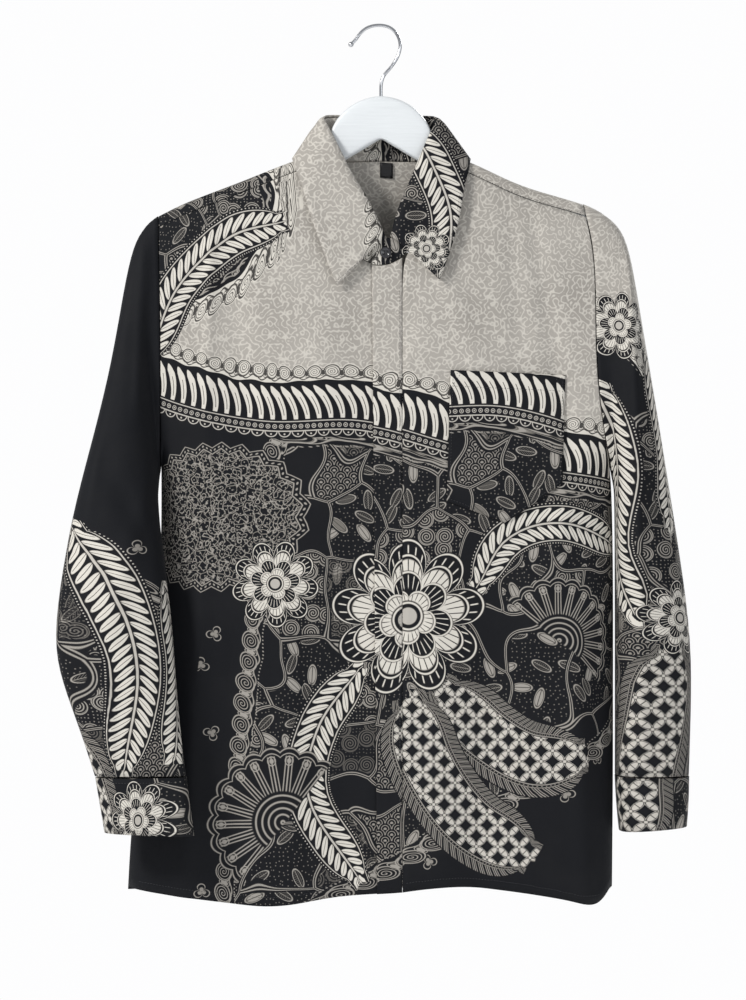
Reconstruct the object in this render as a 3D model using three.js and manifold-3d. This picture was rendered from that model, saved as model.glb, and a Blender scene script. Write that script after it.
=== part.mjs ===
// A long-sleeved batik shirt hanging on a painted wooden clothes hanger. Units are millimetres.
// +Z is up, the front of the shirt faces -Y and +X is the wearer's left. The origin is the point
// where a rail carries the hanger: the underside of the hook wire at the top of its bend.
//
// Every cloth piece is a wall of even thickness, laid out as a grid of points on its outer face.
// The trunk is one surface: a ridge that follows the hanger, and a front and a back that fall from
// it and meet at the side seams. Panels, pocket and collar are all placed from that surface.

import * as THREE from "three";
import { mergeVertices } from "three/addons/utils/BufferGeometryUtils.js";
import Module from "manifold-3d";

const { clamp, degToRad, lerp, smoothstep } = THREE.MathUtils;

// ---- Driving dimensions ----

const CLOTH = 1.2; // cotton with its seam allowances
const STIFF_CLOTH = 1.6; // interlined collar and cuffs
const SEAM_GAP = 0.3; // between pieces that are sewn edge to edge
const ARMHOLE_GAP = 0.8; // the same, where a curved edge meets the sleeve head
const LAP = 2.6; // step from a lapping edge down to the cloth under it

const RIDGE_RADIUS = 8; // rounding of the cloth over the hanger arms
const DEPTH = { chest: 23, hem: 29, spread: 42 }; // half depth of the trunk, and how soon it is reached
const SIDE_ROLL = 60; // width over which the trunk closes towards its side seams

const FRONT_SEAM_DROP = 12; // the yoke comes this far over the shoulder to the front
const YOKE_SEAM_Z = -223; // level seam across the back
const NECK = { halfWidth: 75, front: -241, back: -133, frontRise: 99 };

const PLACKET = { edgeTop: -8, edgeHem: -3, seam: 22, underlap: 14 };
const UNDERARM = { left: -445, right: -452 }; // left and right as seen from the front

const SHOULDER_RIDGE = [
  { x: -240, z: -203 },
  { x: -221, z: -189 },
  { x: -200, z: -178 },
  { x: -140, z: -155 },
  { x: -84, z: -133 },
  { x: 0, z: -108 },
  { x: 85, z: -133 },
  { x: 140, z: -158 },
  { x: 202, z: -177 },
  { x: 230, z: -190 },
];

// Side seams and armholes, from the hem up.
const LEFT_EDGE = [
  { z: -862, x: -252 },
  { z: -809, x: -249 },
  { z: -700, x: -238 },
  { z: -600, x: -224 },
  { z: -520, x: -219 },
  { z: -445, x: -218.5 },
  { z: -300, x: -218 },
  { z: -189, x: -221 },
];
const RIGHT_EDGE = [
  { z: -862, x: 232 },
  { z: -700, x: 233 },
  { z: -452, x: 231 },
  { z: -400, x: 221.5 },
  { z: -340, x: 215 },
  { z: -225, x: 212 },
  { z: -177, x: 202 },
];

const HEM = [
  { x: -252, z: -859 },
  { x: -191, z: -867 },
  { x: -136, z: -874 },
  { x: -100, z: -876 },
  { x: -44, z: -866 },
  { x: 20, z: -862 },
  { x: 70, z: -856 },
  { x: 123, z: -860 },
  { x: 184, z: -869 },
  { x: 216, z: -875 },
  { x: 232, z: -856 },
];
const BACK_HEM_DROP = 3; // the back hangs a little lower than the fronts
const HEM_FLARE = 260; // height over which the hem line fades out of the grid rows

// Soft vertical folds of the fronts: centre, reach in height, half width, and rise of the fold.
const FRONT_FOLDS = [
  { x: -170, top: -200, bottom: -420, half: 9, rise: 2.2 },
  { x: -118, top: -520, bottom: -900, half: 22, rise: 4.5 },
  { x: -62, top: -560, bottom: -900, half: 16, rise: -3.0 },
  { x: 118, top: -500, bottom: -900, half: 26, rise: -2.6 },
  { x: 196, top: -480, bottom: -900, half: 20, rise: 3.4 },
];

// Sleeve sections. "out" runs down the outer fold and "in" down the inner one, "mid" is the
// section's middle in Y, "half" its half depth, and "skew" moves its front ridge inwards.
const RIGHT_SLEEVE = [
  { outX: -239, outZ: -201, inX: -219.6, inZ: -448, mid: 0, half: 22, skew: 0 },
  { outX: -249, outZ: -225, inX: -220.2, inZ: -452, mid: -1, half: 28, skew: 0 },
  { outX: -258, outZ: -273, inX: -220.8, inZ: -458, mid: -3, half: 34, skew: 0 },
  { outX: -267, outZ: -333, inX: -221, inZ: -467, mid: -7, half: 38, skew: 0 },
  { outX: -284, outZ: -405, inX: -220.4, inZ: -482, mid: -14, half: 39, skew: 0 },
  { outX: -302, outZ: -473, inX: -216, inZ: -510, mid: -26, half: 37, skew: 0 },
  { outX: -314, outZ: -539, inX: -210, inZ: -551, mid: -37, half: 34, skew: 0.05 },
  { outX: -323, outZ: -611, inX: -204, inZ: -598, mid: -45, half: 31, skew: 0.1 },
  { outX: -314, outZ: -652, inX: -200, inZ: -654, mid: -47, half: 28, skew: 0.1 },
  { outX: -295, outZ: -701, inX: -196, inZ: -698, mid: -49, half: 24, skew: 0.05 },
  { outX: -281, outZ: -744, inX: -190, inZ: -743, mid: -51, half: 21, skew: 0 },
];
const LEFT_SLEEVE = [
  { outX: 228, outZ: -187, inX: 232.2, inZ: -455, mid: 0, half: 22, skew: 0 },
  { outX: 245, outZ: -204, inX: 233, inZ: -459, mid: 1, half: 28, skew: 0.1 },
  { outX: 254, outZ: -245, inX: 234, inZ: -464, mid: 2, half: 34, skew: 0.15 },
  { outX: 263, outZ: -300, inX: 234.6, inZ: -472, mid: 3, half: 38, skew: 0.2 },
  { outX: 276, outZ: -375, inX: 234.8, inZ: -488, mid: 4, half: 41, skew: 0.2 },
  { outX: 289, outZ: -455, inX: 235, inZ: -516, mid: 5, half: 42, skew: 0.24 },
  { outX: 301, outZ: -530, inX: 235, inZ: -561, mid: 6, half: 42, skew: 0.26 },
  { outX: 313, outZ: -613, inX: 235, inZ: -620, mid: 6, half: 41, skew: 0.28 },
  { outX: 312, outZ: -690, inX: 235, inZ: -690, mid: 6, half: 38, skew: 0.3 },
  { outX: 310, outZ: -748, inX: 235, inZ: -747, mid: 6, half: 36, skew: 0.3 },
];
const RIGHT_CUFF = [
  { outX: -280.6, outZ: -745.5, inX: -189.4, inZ: -744.5, mid: -51, half: 21.5, skew: 0 },
  { outX: -276, outZ: -773, inX: -186, inZ: -772, mid: -51, half: 21, skew: 0 },
  { outX: -271.5, outZ: -799.5, inX: -182, inZ: -802.5, mid: -51, half: 20.5, skew: 0 },
];
const LEFT_CUFF = [
  { outX: 310.4, outZ: -749.5, inX: 234.8, inZ: -748.5, mid: 6, half: 36.5, skew: 0.3 },
  { outX: 310, outZ: -775, inX: 236, inZ: -775, mid: 6, half: 36, skew: 0.28 },
  { outX: 308, outZ: -799, inX: 239, inZ: -803, mid: 6, half: 35, skew: 0.25 },
];
const SLEEVE_FULLNESS = 0.75; // below 1 the sections are fuller than an ellipse
const RING_SIDES = 22;

// The collar from the centre front (0) to the centre back (1) on each side: its top fold and the
// outer edge of the leaf. The first row is the leaf's front end.
const COLLAR_RIGHT = [
  { p: 0, foldX: 4, foldY: -24.5, foldZ: -213, edgeX: -42.5, edgeY: -29.5, edgeZ: -261 },
  { p: 0.15, foldX: -11, foldY: -22.5, foldZ: -180, edgeX: -55, edgeY: -29.5, edgeZ: -230 },
  { p: 0.32, foldX: -32, foldY: -17, foldZ: -144, edgeX: -69, edgeY: -28, edgeZ: -190 },
  { p: 0.48, foldX: -49, foldY: -11, foldZ: -109, edgeX: -79, edgeY: -21.5, edgeZ: -156 },
  { p: 0.56, foldX: -55, foldY: -5, foldZ: -98, edgeX: -84.5, edgeY: -13, edgeZ: -143 },
  { p: 0.64, foldX: -58, foldY: 2, foldZ: -91, edgeX: -88, edgeY: 0, edgeZ: -129.5 },
  { p: 0.76, foldX: -48, foldY: 15, foldZ: -88, edgeX: -76, edgeY: 19, edgeZ: -140 },
  { p: 0.88, foldX: -26, foldY: 21, foldZ: -88, edgeX: -42, edgeY: 22.5, edgeZ: -142 },
  { p: 1, foldX: 0, foldY: 23, foldZ: -89, edgeX: 0, edgeY: 23, edgeZ: -142 },
];
const COLLAR_LEFT = [
  { p: 0.06, foldX: 12, foldY: -24.5, foldZ: -212, edgeX: 59, edgeY: -29.5, edgeZ: -255 },
  { p: 0.18, foldX: 20, foldY: -22.5, foldZ: -183, edgeX: 69, edgeY: -29.5, edgeZ: -228 },
  { p: 0.33, foldX: 34, foldY: -17, foldZ: -150, edgeX: 79, edgeY: -28, edgeZ: -192 },
  { p: 0.48, foldX: 50, foldY: -11, foldZ: -111, edgeX: 84, edgeY: -21.5, edgeZ: -160 },
  { p: 0.56, foldX: 56, foldY: -5, foldZ: -99, edgeX: 88.5, edgeY: -14, edgeZ: -145 },
  { p: 0.64, foldX: 58, foldY: 2, foldZ: -92, edgeX: 90, edgeY: -0.5, edgeZ: -129.5 },
  { p: 0.76, foldX: 48, foldY: 15, foldZ: -89, edgeX: 76, edgeY: 19, edgeZ: -140 },
  { p: 0.88, foldX: 26, foldY: 21, foldZ: -88, edgeX: 42, edgeY: 22.5, edgeZ: -142 },
  { p: 1, foldX: 0, foldY: 23, foldZ: -89, edgeX: 0, edgeY: 23, edgeZ: -142 },
];
const NECK_SIDE = 0.55; // where the front neckline meets the yoke, on the collar's own scale

// The chest pocket, with a mitred bottom.
const POCKET = {
  left: 70, right: 184, bottomLeft: 66, bottomRight: 181,
  topLeftZ: -344, topRightZ: -349, bottomLeftZ: -474, bottomRightZ: -456, pointX: 125, pointZ: -496,
};
const ON_PANEL = 0.8; // clear gap between a panel and what lies on it

const LABEL = { left: 0, right: 13, height: 15, wall: 1.0 };
const BUTTON = {
  radius: 5.7, thickness: 2.4, rim: 0.5, holeRadius: 0.75, holeSpread: 1.5,
  lift: 0.7, // clear of the cloth
};

const HANGER = {
  centre: 1, reach: 208, thickness: 12, corner: 5, domeRadius: 54, domeZ: -123,
  notchZ: -112, notchSlope: 0.6, armHeight: 26, tipHeight: 21, cloth: 2.1,
  tipRadius: 8, tipThinness: 0.4,
};
const HOOK_WIRE = 1.75; // radius
const HOOK_BALL = 2.8;
const HOOK_BORE = { radius: 2.1, bottom: -92, length: 60 };
const HOOK_PATH = [
  { x: -29, z: -17.5 },
  { x: -24.5, z: -13 },
  { x: -20.2, z: -6.8 },
  { x: -12.5, z: -0.6 },
  { x: 0, z: HOOK_WIRE },
  { x: 10.5, z: -0.9 },
  { x: 17.8, z: -8.7 },
  { x: 20.3, z: -19 },
  { x: 17.8, z: -29.4 },
  { x: 10.4, z: -41 },
  { x: 3.6, z: -49 },
  { x: 1.2, z: -57 },
  { x: HANGER.centre, z: -67 },
  { x: HANGER.centre, z: -88 },
];

// ---- Curves and surfaces ----

// A smooth curve through a table's rows: one column as a function of another, which ascends.
function through(rows, key, column) {
  const last = rows.length - 1;
  const slope = rows.map((row, i) => {
    const before = rows[Math.max(i - 1, 0)];
    const after = rows[Math.min(i + 1, last)];
    return (after[column] - before[column]) / (after[key] - before[key]);
  });
  return (k) => {
    let i = 0;
    while (i < last - 1 && k > rows[i + 1][key]) i += 1;
    const span = rows[i + 1][key] - rows[i][key];
    const t = clamp((k - rows[i][key]) / span, 0, 1);
    const ease = t * t * (3 - 2 * t);
    const tangents = t * (1 - t) * span * (slope[i] * (1 - t) - slope[i + 1] * t);
    return lerp(rows[i][column], rows[i + 1][column], ease) + tangents;
  };
}

const ridge = through(SHOULDER_RIDGE, "x", "z");
const hem = through(HEM, "x", "z");
const leftEdge = through(LEFT_EDGE, "z", "x");
const rightEdge = through(RIGHT_EDGE, "z", "x");

// How far the trunk has closed towards a side seam: 1 in the middle, 0 at the seam. Above the
// underarm the closing line runs off outwards, so the armholes stay open.
const ARMHOLE_SPREAD = 0.45;
function sideRoll(x, z) {
  const underarm = x < 0 ? UNDERARM.left : UNDERARM.right;
  const seam = Math.abs((x < 0 ? leftEdge : rightEdge)(Math.min(z, underarm)));
  const line = seam + Math.max(z - underarm, 0) * ARMHOLE_SPREAD;
  const inside = clamp((line - Math.abs(x)) / SIDE_ROLL, 0, 1);
  return Math.sqrt(1 - (1 - inside) ** 2);
}

// Half depth of the trunk at a point of its front or back.
function halfDepth(x, z) {
  const drop = ridge(x) - z;
  if (drop <= 0) return 0;
  if (drop < RIDGE_RADIUS) return Math.sqrt(RIDGE_RADIUS ** 2 - (RIDGE_RADIUS - drop) ** 2);
  const full = lerp(DEPTH.chest, DEPTH.hem, smoothstep(-z, 250, 800)) * sideRoll(x, z);
  return RIDGE_RADIUS + (full - RIDGE_RADIUS) * (1 - Math.exp((RIDGE_RADIUS - drop) / DEPTH.spread));
}

function foldRise(x, z) {
  let rise = 0;
  for (const fold of FRONT_FOLDS) {
    const along = smoothstep(fold.top - z, 0, 120) * smoothstep(z - fold.bottom, 0, 60);
    rise += fold.rise * along * Math.exp(-(((x - fold.x) / fold.half) ** 2));
  }
  return rise * sideRoll(x, z);
}

// How far the right front steps in to pass under the placket.
const LAP_REACH = { from: -44, to: -14 };
function lapUnder(x, side) {
  return side < 0 ? LAP * smoothstep(x, LAP_REACH.from, LAP_REACH.to) : 0;
}

// Points on the outer faces of the trunk. "out" lifts a point off the panel.
function frontPoint(x, z, out = 0) {
  return new THREE.Vector3(x, -(halfDepth(x, z) + foldRise(x, z) + SEAM_GAP / 2 + out), z);
}
function backPoint(x, z, out = 0) {
  return new THREE.Vector3(x, halfDepth(x, z) + SEAM_GAP / 2 + out, z);
}

// A point of the yoke, "along" millimetres from the ridge: negative to the front.
const QUARTER = (RIDGE_RADIUS * Math.PI) / 2;
function alongFor(drop) {
  return QUARTER + drop - RIDGE_RADIUS;
}
function yokePoint(x, along) {
  const reach = Math.abs(along);
  const turn = Math.min(reach, QUARTER) / RIDGE_RADIUS;
  const drop = RIDGE_RADIUS * (1 - Math.cos(turn)) + Math.max(reach - QUARTER, 0);
  const z = ridge(x) - drop;
  const y = Math.sign(along) * (halfDepth(x, z) + (SEAM_GAP / 2) * Math.sin(turn));
  return new THREE.Vector3(x, y, z);
}

const FRONT_SEAM = -alongFor(FRONT_SEAM_DROP);
const BACK_NECK = alongFor(ridge(0) - NECK.back);
function neckFrontZ(x) {
  return NECK.front + NECK.frontRise * (x / NECK.halfWidth) ** 2;
}

// Positions along the neck run from the centre front (0, or below it on the laps) to the centre
// back (1). The fronts, the yoke and the collar stand all break at the same stations.
const NECK_STEPS = { front: 8, back: 7 };
function neckAt(x, side) {
  return (NECK_SIDE / degToRad(90)) * Math.asin((side * x) / NECK.halfWidth);
}
function neckStations(from) {
  const front = steps(NECK_STEPS.front).map((t) => lerp(from, NECK_SIDE, t));
  const back = steps(NECK_STEPS.back).map((t) => lerp(NECK_SIDE, 1, t));
  return [...front, ...back.slice(1)];
}

// The neck seam at one of those positions.
function neckSeam(p, side) {
  if (p < NECK_SIDE) {
    const x = side * NECK.halfWidth * Math.sin((p / NECK_SIDE) * degToRad(90));
    const z = Math.min(neckFrontZ(x), ridge(x) - FRONT_SEAM_DROP);
    return frontPoint(x, z, -lapUnder(x, side));
  }
  const angle = degToRad(90) * ((1 - p) / (1 - NECK_SIDE));
  const along = FRONT_SEAM + (BACK_NECK - FRONT_SEAM) * Math.cos(angle);
  return yokePoint(side * NECK.halfWidth * Math.sin(angle), along);
}

// ---- Solids ----

function geometryOf(points, triangles) {
  const positions = new Float32Array(points.flatMap((point) => point.toArray()));
  const geometry = new THREE.BufferGeometry();
  geometry.setAttribute("position", new THREE.BufferAttribute(positions, 3));
  geometry.setIndex(triangles.flat());
  geometry.computeVertexNormals();
  return geometry;
}

// A wall of cloth from a grid of points on its outer face, which looks along columns x rows.
// "turned" reverses that, "ring" joins the last column to the first, and "trim" moves the points
// of the inner face.
function clothWall(grid, thickness, { ring = false, turned = false, trim } = {}) {
  const rows = grid.length;
  const columns = grid[0].length;
  const sign = turned ? -1 : 1;
  const inner = grid.map((row, i) =>
    row.map((point, j) => {
      const before = ring ? row[(j + columns - 1) % columns] : row[Math.max(j - 1, 0)];
      const after = ring ? row[(j + 1) % columns] : row[Math.min(j + 1, columns - 1)];
      const across = new THREE.Vector3().subVectors(after, before);
      const upper = grid[Math.min(i + 1, rows - 1)][j];
      const along = new THREE.Vector3().subVectors(upper, grid[Math.max(i - 1, 0)][j]);
      const normal = across.cross(along).normalize();
      const shifted = point.clone().addScaledVector(normal, -sign * thickness);
      return trim ? trim(shifted) : shifted;
    }),
  );
  const points = [...grid.flat(), ...inner.flat()];
  const outside = (i, j) => i * columns + (j % columns);
  const inside = (i, j) => rows * columns + outside(i, j);
  const triangles = [];
  const quad = (a, b, c, d) => {
    triangles.push(turned ? [c, b, a] : [a, b, c]);
    triangles.push(turned ? [d, c, a] : [a, c, d]);
  };
  const spans = ring ? columns : columns - 1;
  for (let i = 0; i < rows - 1; i += 1) {
    for (let j = 0; j < spans; j += 1) {
      quad(outside(i, j), outside(i, j + 1), outside(i + 1, j + 1), outside(i + 1, j));
      quad(inside(i + 1, j), inside(i + 1, j + 1), inside(i, j + 1), inside(i, j));
    }
    if (!ring) {
      const end = columns - 1;
      quad(outside(i + 1, 0), inside(i + 1, 0), inside(i, 0), outside(i, 0));
      quad(outside(i, end), inside(i, end), inside(i + 1, end), outside(i + 1, end));
    }
  }
  for (let j = 0; j < spans; j += 1) {
    const top = rows - 1;
    quad(outside(0, j), inside(0, j), inside(0, j + 1), outside(0, j + 1));
    quad(outside(top, j + 1), inside(top, j + 1), inside(top, j), outside(top, j));
  }
  return geometryOf(points, triangles);
}

// A solid through rings of points, with flat ends.
function loft(rings) {
  const sides = rings[0].length;
  const points = rings.flat();
  const triangles = [];
  for (let i = 0; i < rings.length - 1; i += 1) {
    for (let j = 0; j < sides; j += 1) {
      const a = i * sides + j;
      const b = i * sides + ((j + 1) % sides);
      triangles.push([a, b, b + sides], [a, b + sides, a + sides]);
    }
  }
  const last = (rings.length - 1) * sides;
  for (let j = 1; j < sides - 1; j += 1) {
    triangles.push([0, j + 1, j], [last, last + j, last + j + 1]);
  }
  return geometryOf(points, triangles);
}

// Joining and cutting.
const manifold = await Module();
manifold.setup();
function solid(geometry) {
  const bare = new THREE.BufferGeometry();
  const flat = geometry.index ? geometry.toNonIndexed() : geometry;
  bare.setAttribute("position", flat.getAttribute("position"));
  const merged = mergeVertices(bare, 1e-3);
  const mesh = new manifold.Mesh({
    numProp: 3,
    vertProperties: merged.attributes.position.array,
    triVerts: new Uint32Array(merged.index.array),
  });
  return new manifold.Manifold(mesh);
}
function geometryFrom(body) {
  const mesh = body.getMesh();
  const geometry = new THREE.BufferGeometry();
  geometry.setAttribute("position", new THREE.BufferAttribute(mesh.vertProperties, 3));
  geometry.setIndex(new THREE.BufferAttribute(mesh.triVerts, 1));
  geometry.computeVertexNormals();
  return geometry;
}

// Evenly spaced steps from 0 to 1, drawn together towards the end as "power" grows.
function steps(count, power = 1) {
  return Array.from({ length: count + 1 }, (unused, i) => 1 - (1 - i / count) ** power);
}

// ---- Fronts, placket and pocket ----

// A front panel, from its centre edge to its side seam and armhole, and from the hem to the
// shoulder seam. Its inner side turns from the centre edge into the neckline.
const FRONT_ROWS = { belowNeck: 13, neckline: NECK_STEPS.front, belowArm: 11 };
function frontPanel(side, centreX) {
  const edge = side < 0 ? leftEdge : rightEdge;
  const underarm = side < 0 ? UNDERARM.left : UNDERARM.right;
  const outerHem = side < 0 ? LEFT_EDGE[0].x : RIGHT_EDGE[0].x;
  const tipX = edge(0);
  const seamDrop = FRONT_SEAM_DROP + 3 * SEAM_GAP;
  const total = FRONT_ROWS.belowNeck + FRONT_ROWS.neckline;
  const innerAt = (row) => {
    const climb = (row - FRONT_ROWS.belowNeck) / FRONT_ROWS.neckline;
    if (climb <= 0) {
      const level = row / FRONT_ROWS.belowNeck;
      return { x: centreX, z: lerp(hem(centreX), neckFrontZ(centreX), level) };
    }
    const angle = degToRad(90) * (lerp(neckAt(centreX, side), NECK_SIDE, climb) / NECK_SIDE);
    const x = side * NECK.halfWidth * Math.sin(angle);
    return { x, z: Math.min(neckFrontZ(x), ridge(x) - seamDrop) };
  };
  const outerAt = (row) => {
    const climb = (row - FRONT_ROWS.belowArm) / (total - FRONT_ROWS.belowArm);
    const z = climb <= 0
      ? lerp(hem(outerHem), underarm, row / FRONT_ROWS.belowArm)
      : lerp(underarm, ridge(tipX) - seamDrop, climb);
    return { x: edge(z), z };
  };
  const columns = steps(12, 1.5);
  const grid = [];
  for (let row = 0; row <= total; row += 1) {
    const inner = innerAt(row);
    const outer = outerAt(row);
    const low = 1 - smoothstep(inner.z - hem(centreX), 0, HEM_FLARE);
    const high = row / total;
    grid.push(columns.map((u) => {
      const x = lerp(inner.x, outer.x, u);
      const straightHem = lerp(hem(centreX), hem(outerHem), u);
      const straightRidge = lerp(ridge(inner.x), ridge(tipX), u);
      const sag = (hem(x) - straightHem) * low;
      const rise = (ridge(x) - straightRidge) * high ** 8;
      return frontPoint(x, lerp(inner.z, outer.z, u) + sag + rise, -lapUnder(x, side));
    }));
  }
  const trim = (point) => point.setY(Math.min(point.y, -SEAM_GAP / 2));
  return clothWall(side < 0 ? grid.map((row) => row.reverse()) : grid, CLOTH, { trim });
}

function placketPanel() {
  const rows = 18;
  const grid = steps(rows).map((level) =>
    steps(3).map((u) => {
      const edge = lerp(PLACKET.edgeHem, PLACKET.edgeTop, level);
      const x = lerp(edge, PLACKET.seam, u);
      return frontPoint(x, lerp(hem(x), neckFrontZ(x), level));
    }),
  );
  return clothWall(grid, CLOTH);
}

function pocketPanel() {
  const grid = steps(9).map((level) =>
    steps(10).map((u) => {
      const leftX = lerp(POCKET.bottomLeft, POCKET.left, level);
      const rightX = lerp(POCKET.bottomRight, POCKET.right, level);
      const x = lerp(leftX, rightX, u);
      const middle = (POCKET.pointX - POCKET.bottomLeft) / (POCKET.bottomRight - POCKET.bottomLeft);
      const bottom = u < middle
        ? lerp(POCKET.bottomLeftZ, POCKET.pointZ, u / middle)
        : lerp(POCKET.pointZ, POCKET.bottomRightZ, (u - middle) / (1 - middle));
      const z = lerp(bottom, lerp(POCKET.topLeftZ, POCKET.topRightZ, u), level);
      return frontPoint(x, z, ON_PANEL + CLOTH);
    }),
  );
  return clothWall(grid, CLOTH);
}

// ---- Back and yoke ----

function backPanel() {
  const columns = 18;
  const rows = 17;
  const top = YOKE_SEAM_Z - 2 * SEAM_GAP;
  const bottom = LEFT_EDGE[0].z;
  const grid = steps(rows).map((v) => {
    const rowZ = lerp(bottom, top, v);
    const low = 1 - smoothstep(rowZ - bottom, 0, HEM_FLARE);
    return steps(columns).map((u) => {
      const spread = 0.5 - 0.5 * Math.cos(u * Math.PI);
      const x = lerp(leftEdge(rowZ), rightEdge(rowZ), lerp(u, spread, 0.6));
      return backPoint(x, rowZ + (hem(x) - bottom - BACK_HEM_DROP) * low);
    });
  });
  const trim = (point) => point.setY(Math.max(point.y, SEAM_GAP / 2));
  return clothWall(grid, CLOTH, { turned: true, trim });
}

// The yoke lies over both shoulders: columns from the left armhole round the neck to the right.
function yokePanel() {
  const shoulder = 7;
  const neck = 2 * NECK_STEPS.back;
  const columns = [];
  const tips = { left: LEFT_EDGE.at(-1).x, right: RIGHT_EDGE.at(-1).x };
  for (const u of steps(shoulder)) {
    columns.push({ x: lerp(tips.left, -NECK.halfWidth, u), start: FRONT_SEAM });
  }
  for (let i = 1; i < neck; i += 1) {
    const angle = degToRad(lerp(-90, 90, i / neck));
    const start = FRONT_SEAM + (BACK_NECK - FRONT_SEAM) * Math.cos(angle);
    columns.push({ x: NECK.halfWidth * Math.sin(angle), start });
  }
  for (const u of steps(shoulder)) {
    columns.push({ x: lerp(NECK.halfWidth, tips.right, u), start: FRONT_SEAM });
  }
  // Rows keep their distance from the ridge, and crowd together where the neckline cuts in.
  const fine = { rows: 9, end: 19 };
  const coarse = 4;
  const crowding = 10;
  const grid = steps(fine.rows + coarse).map(() => []);
  for (const { x, start } of columns) {
    const end = alongFor(ridge(x) - YOKE_SEAM_Z);
    const level = grid.map((unused, row) => {
      const along = row <= fine.rows
        ? lerp(FRONT_SEAM, fine.end, row / fine.rows)
        : lerp(fine.end, end, (row - fine.rows) / coarse);
      return (along - start + Math.hypot(along - start, crowding)) / 2;
    });
    const scale = (end - start) / (level.at(-1) - level[0]);
    level.forEach((value, row) => {
      const along = start + (value - level[0]) * scale;
      grid[row].push(armholeTrim(yokePoint(x, along)));
    });
  }
  return clothWall(grid, CLOTH);
}

// The yoke's ends follow the armholes.
function armholeTrim(point) {
  const tip = point.x < 0 ? LEFT_EDGE.at(-1).x : RIGHT_EDGE.at(-1).x;
  const edge = (point.x < 0 ? leftEdge : rightEdge)(point.z);
  const near = smoothstep(Math.abs(point.x), Math.abs(tip) - 60, Math.abs(tip));
  point.x += (edge - tip) * near;
  return point;
}

// ---- Sleeves and cuffs ----

function sectionRing({ outX, outZ, inX, inZ, mid, half, skew }) {
  return Array.from({ length: RING_SIDES }, (unused, i) => {
    const angle = (2 * Math.PI * i) / RING_SIDES;
    const front = Math.max(Math.sin(angle), 0);
    const across = clamp((1 - Math.cos(angle) + skew * front ** 2) / 2, 0, 1);
    const fullness = Math.sign(Math.sin(angle)) * Math.abs(Math.sin(angle)) ** SLEEVE_FULLNESS;
    return new THREE.Vector3(lerp(outX, inX, across), mid - half * fullness, lerp(outZ, inZ, across));
  });
}

// The sleeve head, on the armhole's own line.
function armholeRing(side) {
  const edge = side < 0 ? leftEdge : rightEdge;
  const underarm = side < 0 ? UNDERARM.left : UNDERARM.right;
  const tip = side < 0 ? LEFT_EDGE.at(-1) : RIGHT_EDGE.at(-1);
  return Array.from({ length: RING_SIDES }, (unused, i) => {
    const angle = (2 * Math.PI * i) / RING_SIDES;
    const z = lerp(ridge(tip.x), underarm, (1 - Math.cos(angle)) / 2);
    const x = edge(z);
    const y = -Math.sign(Math.round(Math.sin(angle) * 1000)) * (halfDepth(x, z) + SEAM_GAP / 2);
    return new THREE.Vector3(x + side * ARMHOLE_GAP, y, z);
  });
}

function sleeveTube(side, sections) {
  const rings = [armholeRing(side), ...sections.map(sectionRing)];
  return clothWall(rings, CLOTH, { ring: true, turned: side < 0 });
}
function cuffTube(side, sections) {
  return clothWall(sections.map(sectionRing), STIFF_CLOTH, { ring: true, turned: side < 0 });
}

// ---- Collar ----

// The collar's lines as points of p along the neck: the seam, the top fold and the leaf's edge.
const COLLAR_LINES = { [-1]: COLLAR_RIGHT, 1: COLLAR_LEFT };
const collarCurves = Object.fromEntries(
  Object.entries(COLLAR_LINES).map(([side, rows]) => {
    const column = (name) => through(rows, "p", name);
    return [side, {
      fold: ["foldX", "foldY", "foldZ"].map(column),
      edge: ["edgeX", "edgeY", "edgeZ"].map(column),
    }];
  }),
);
function collarPoint(line, p, side) {
  return new THREE.Vector3(...collarCurves[side][line].map((curve) => curve(p)));
}

// Stations from one front end of the collar round the back to the other.
function collarStations(rightFrom, leftFrom) {
  const right = neckStations(rightFrom).map((p) => ({ p, side: -1 }));
  const left = neckStations(leftFrom).map((p) => ({ p, side: 1 }));
  return [...right, ...left.reverse().slice(1)];
}

function standBand() {
  const stations = collarStations(neckAt(PLACKET.underlap, -1), neckAt(PLACKET.seam, 1));
  for (const x of [12, 2, PLACKET.edgeTop]) stations.push({ p: neckAt(x, 1), side: 1 });
  const lift = { bottom: 0.9, top: 1.2 };
  const grid = [0, 1 / 3, 2 / 3, 1].map((v) =>
    stations.map(({ p, side }) => {
      const seam = neckSeam(p, side);
      const leafEnd = COLLAR_LINES[side][0].p;
      const fold = collarPoint("fold", Math.max(p, leafEnd), side);
      if (p < leafEnd) fold.x += seam.x - neckSeam(leafEnd, side).x;
      if (p < NECK_SIDE) fold.y += lapUnder(seam.x, side);
      const up = new THREE.Vector3().subVectors(fold, seam).normalize();
      const start = seam.clone().addScaledVector(up, lift.bottom);
      return start.lerp(fold.addScaledVector(up, -lift.top), v);
    }),
  );
  return clothWall(grid, STIFF_CLOTH, { turned: true });
}

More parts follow.
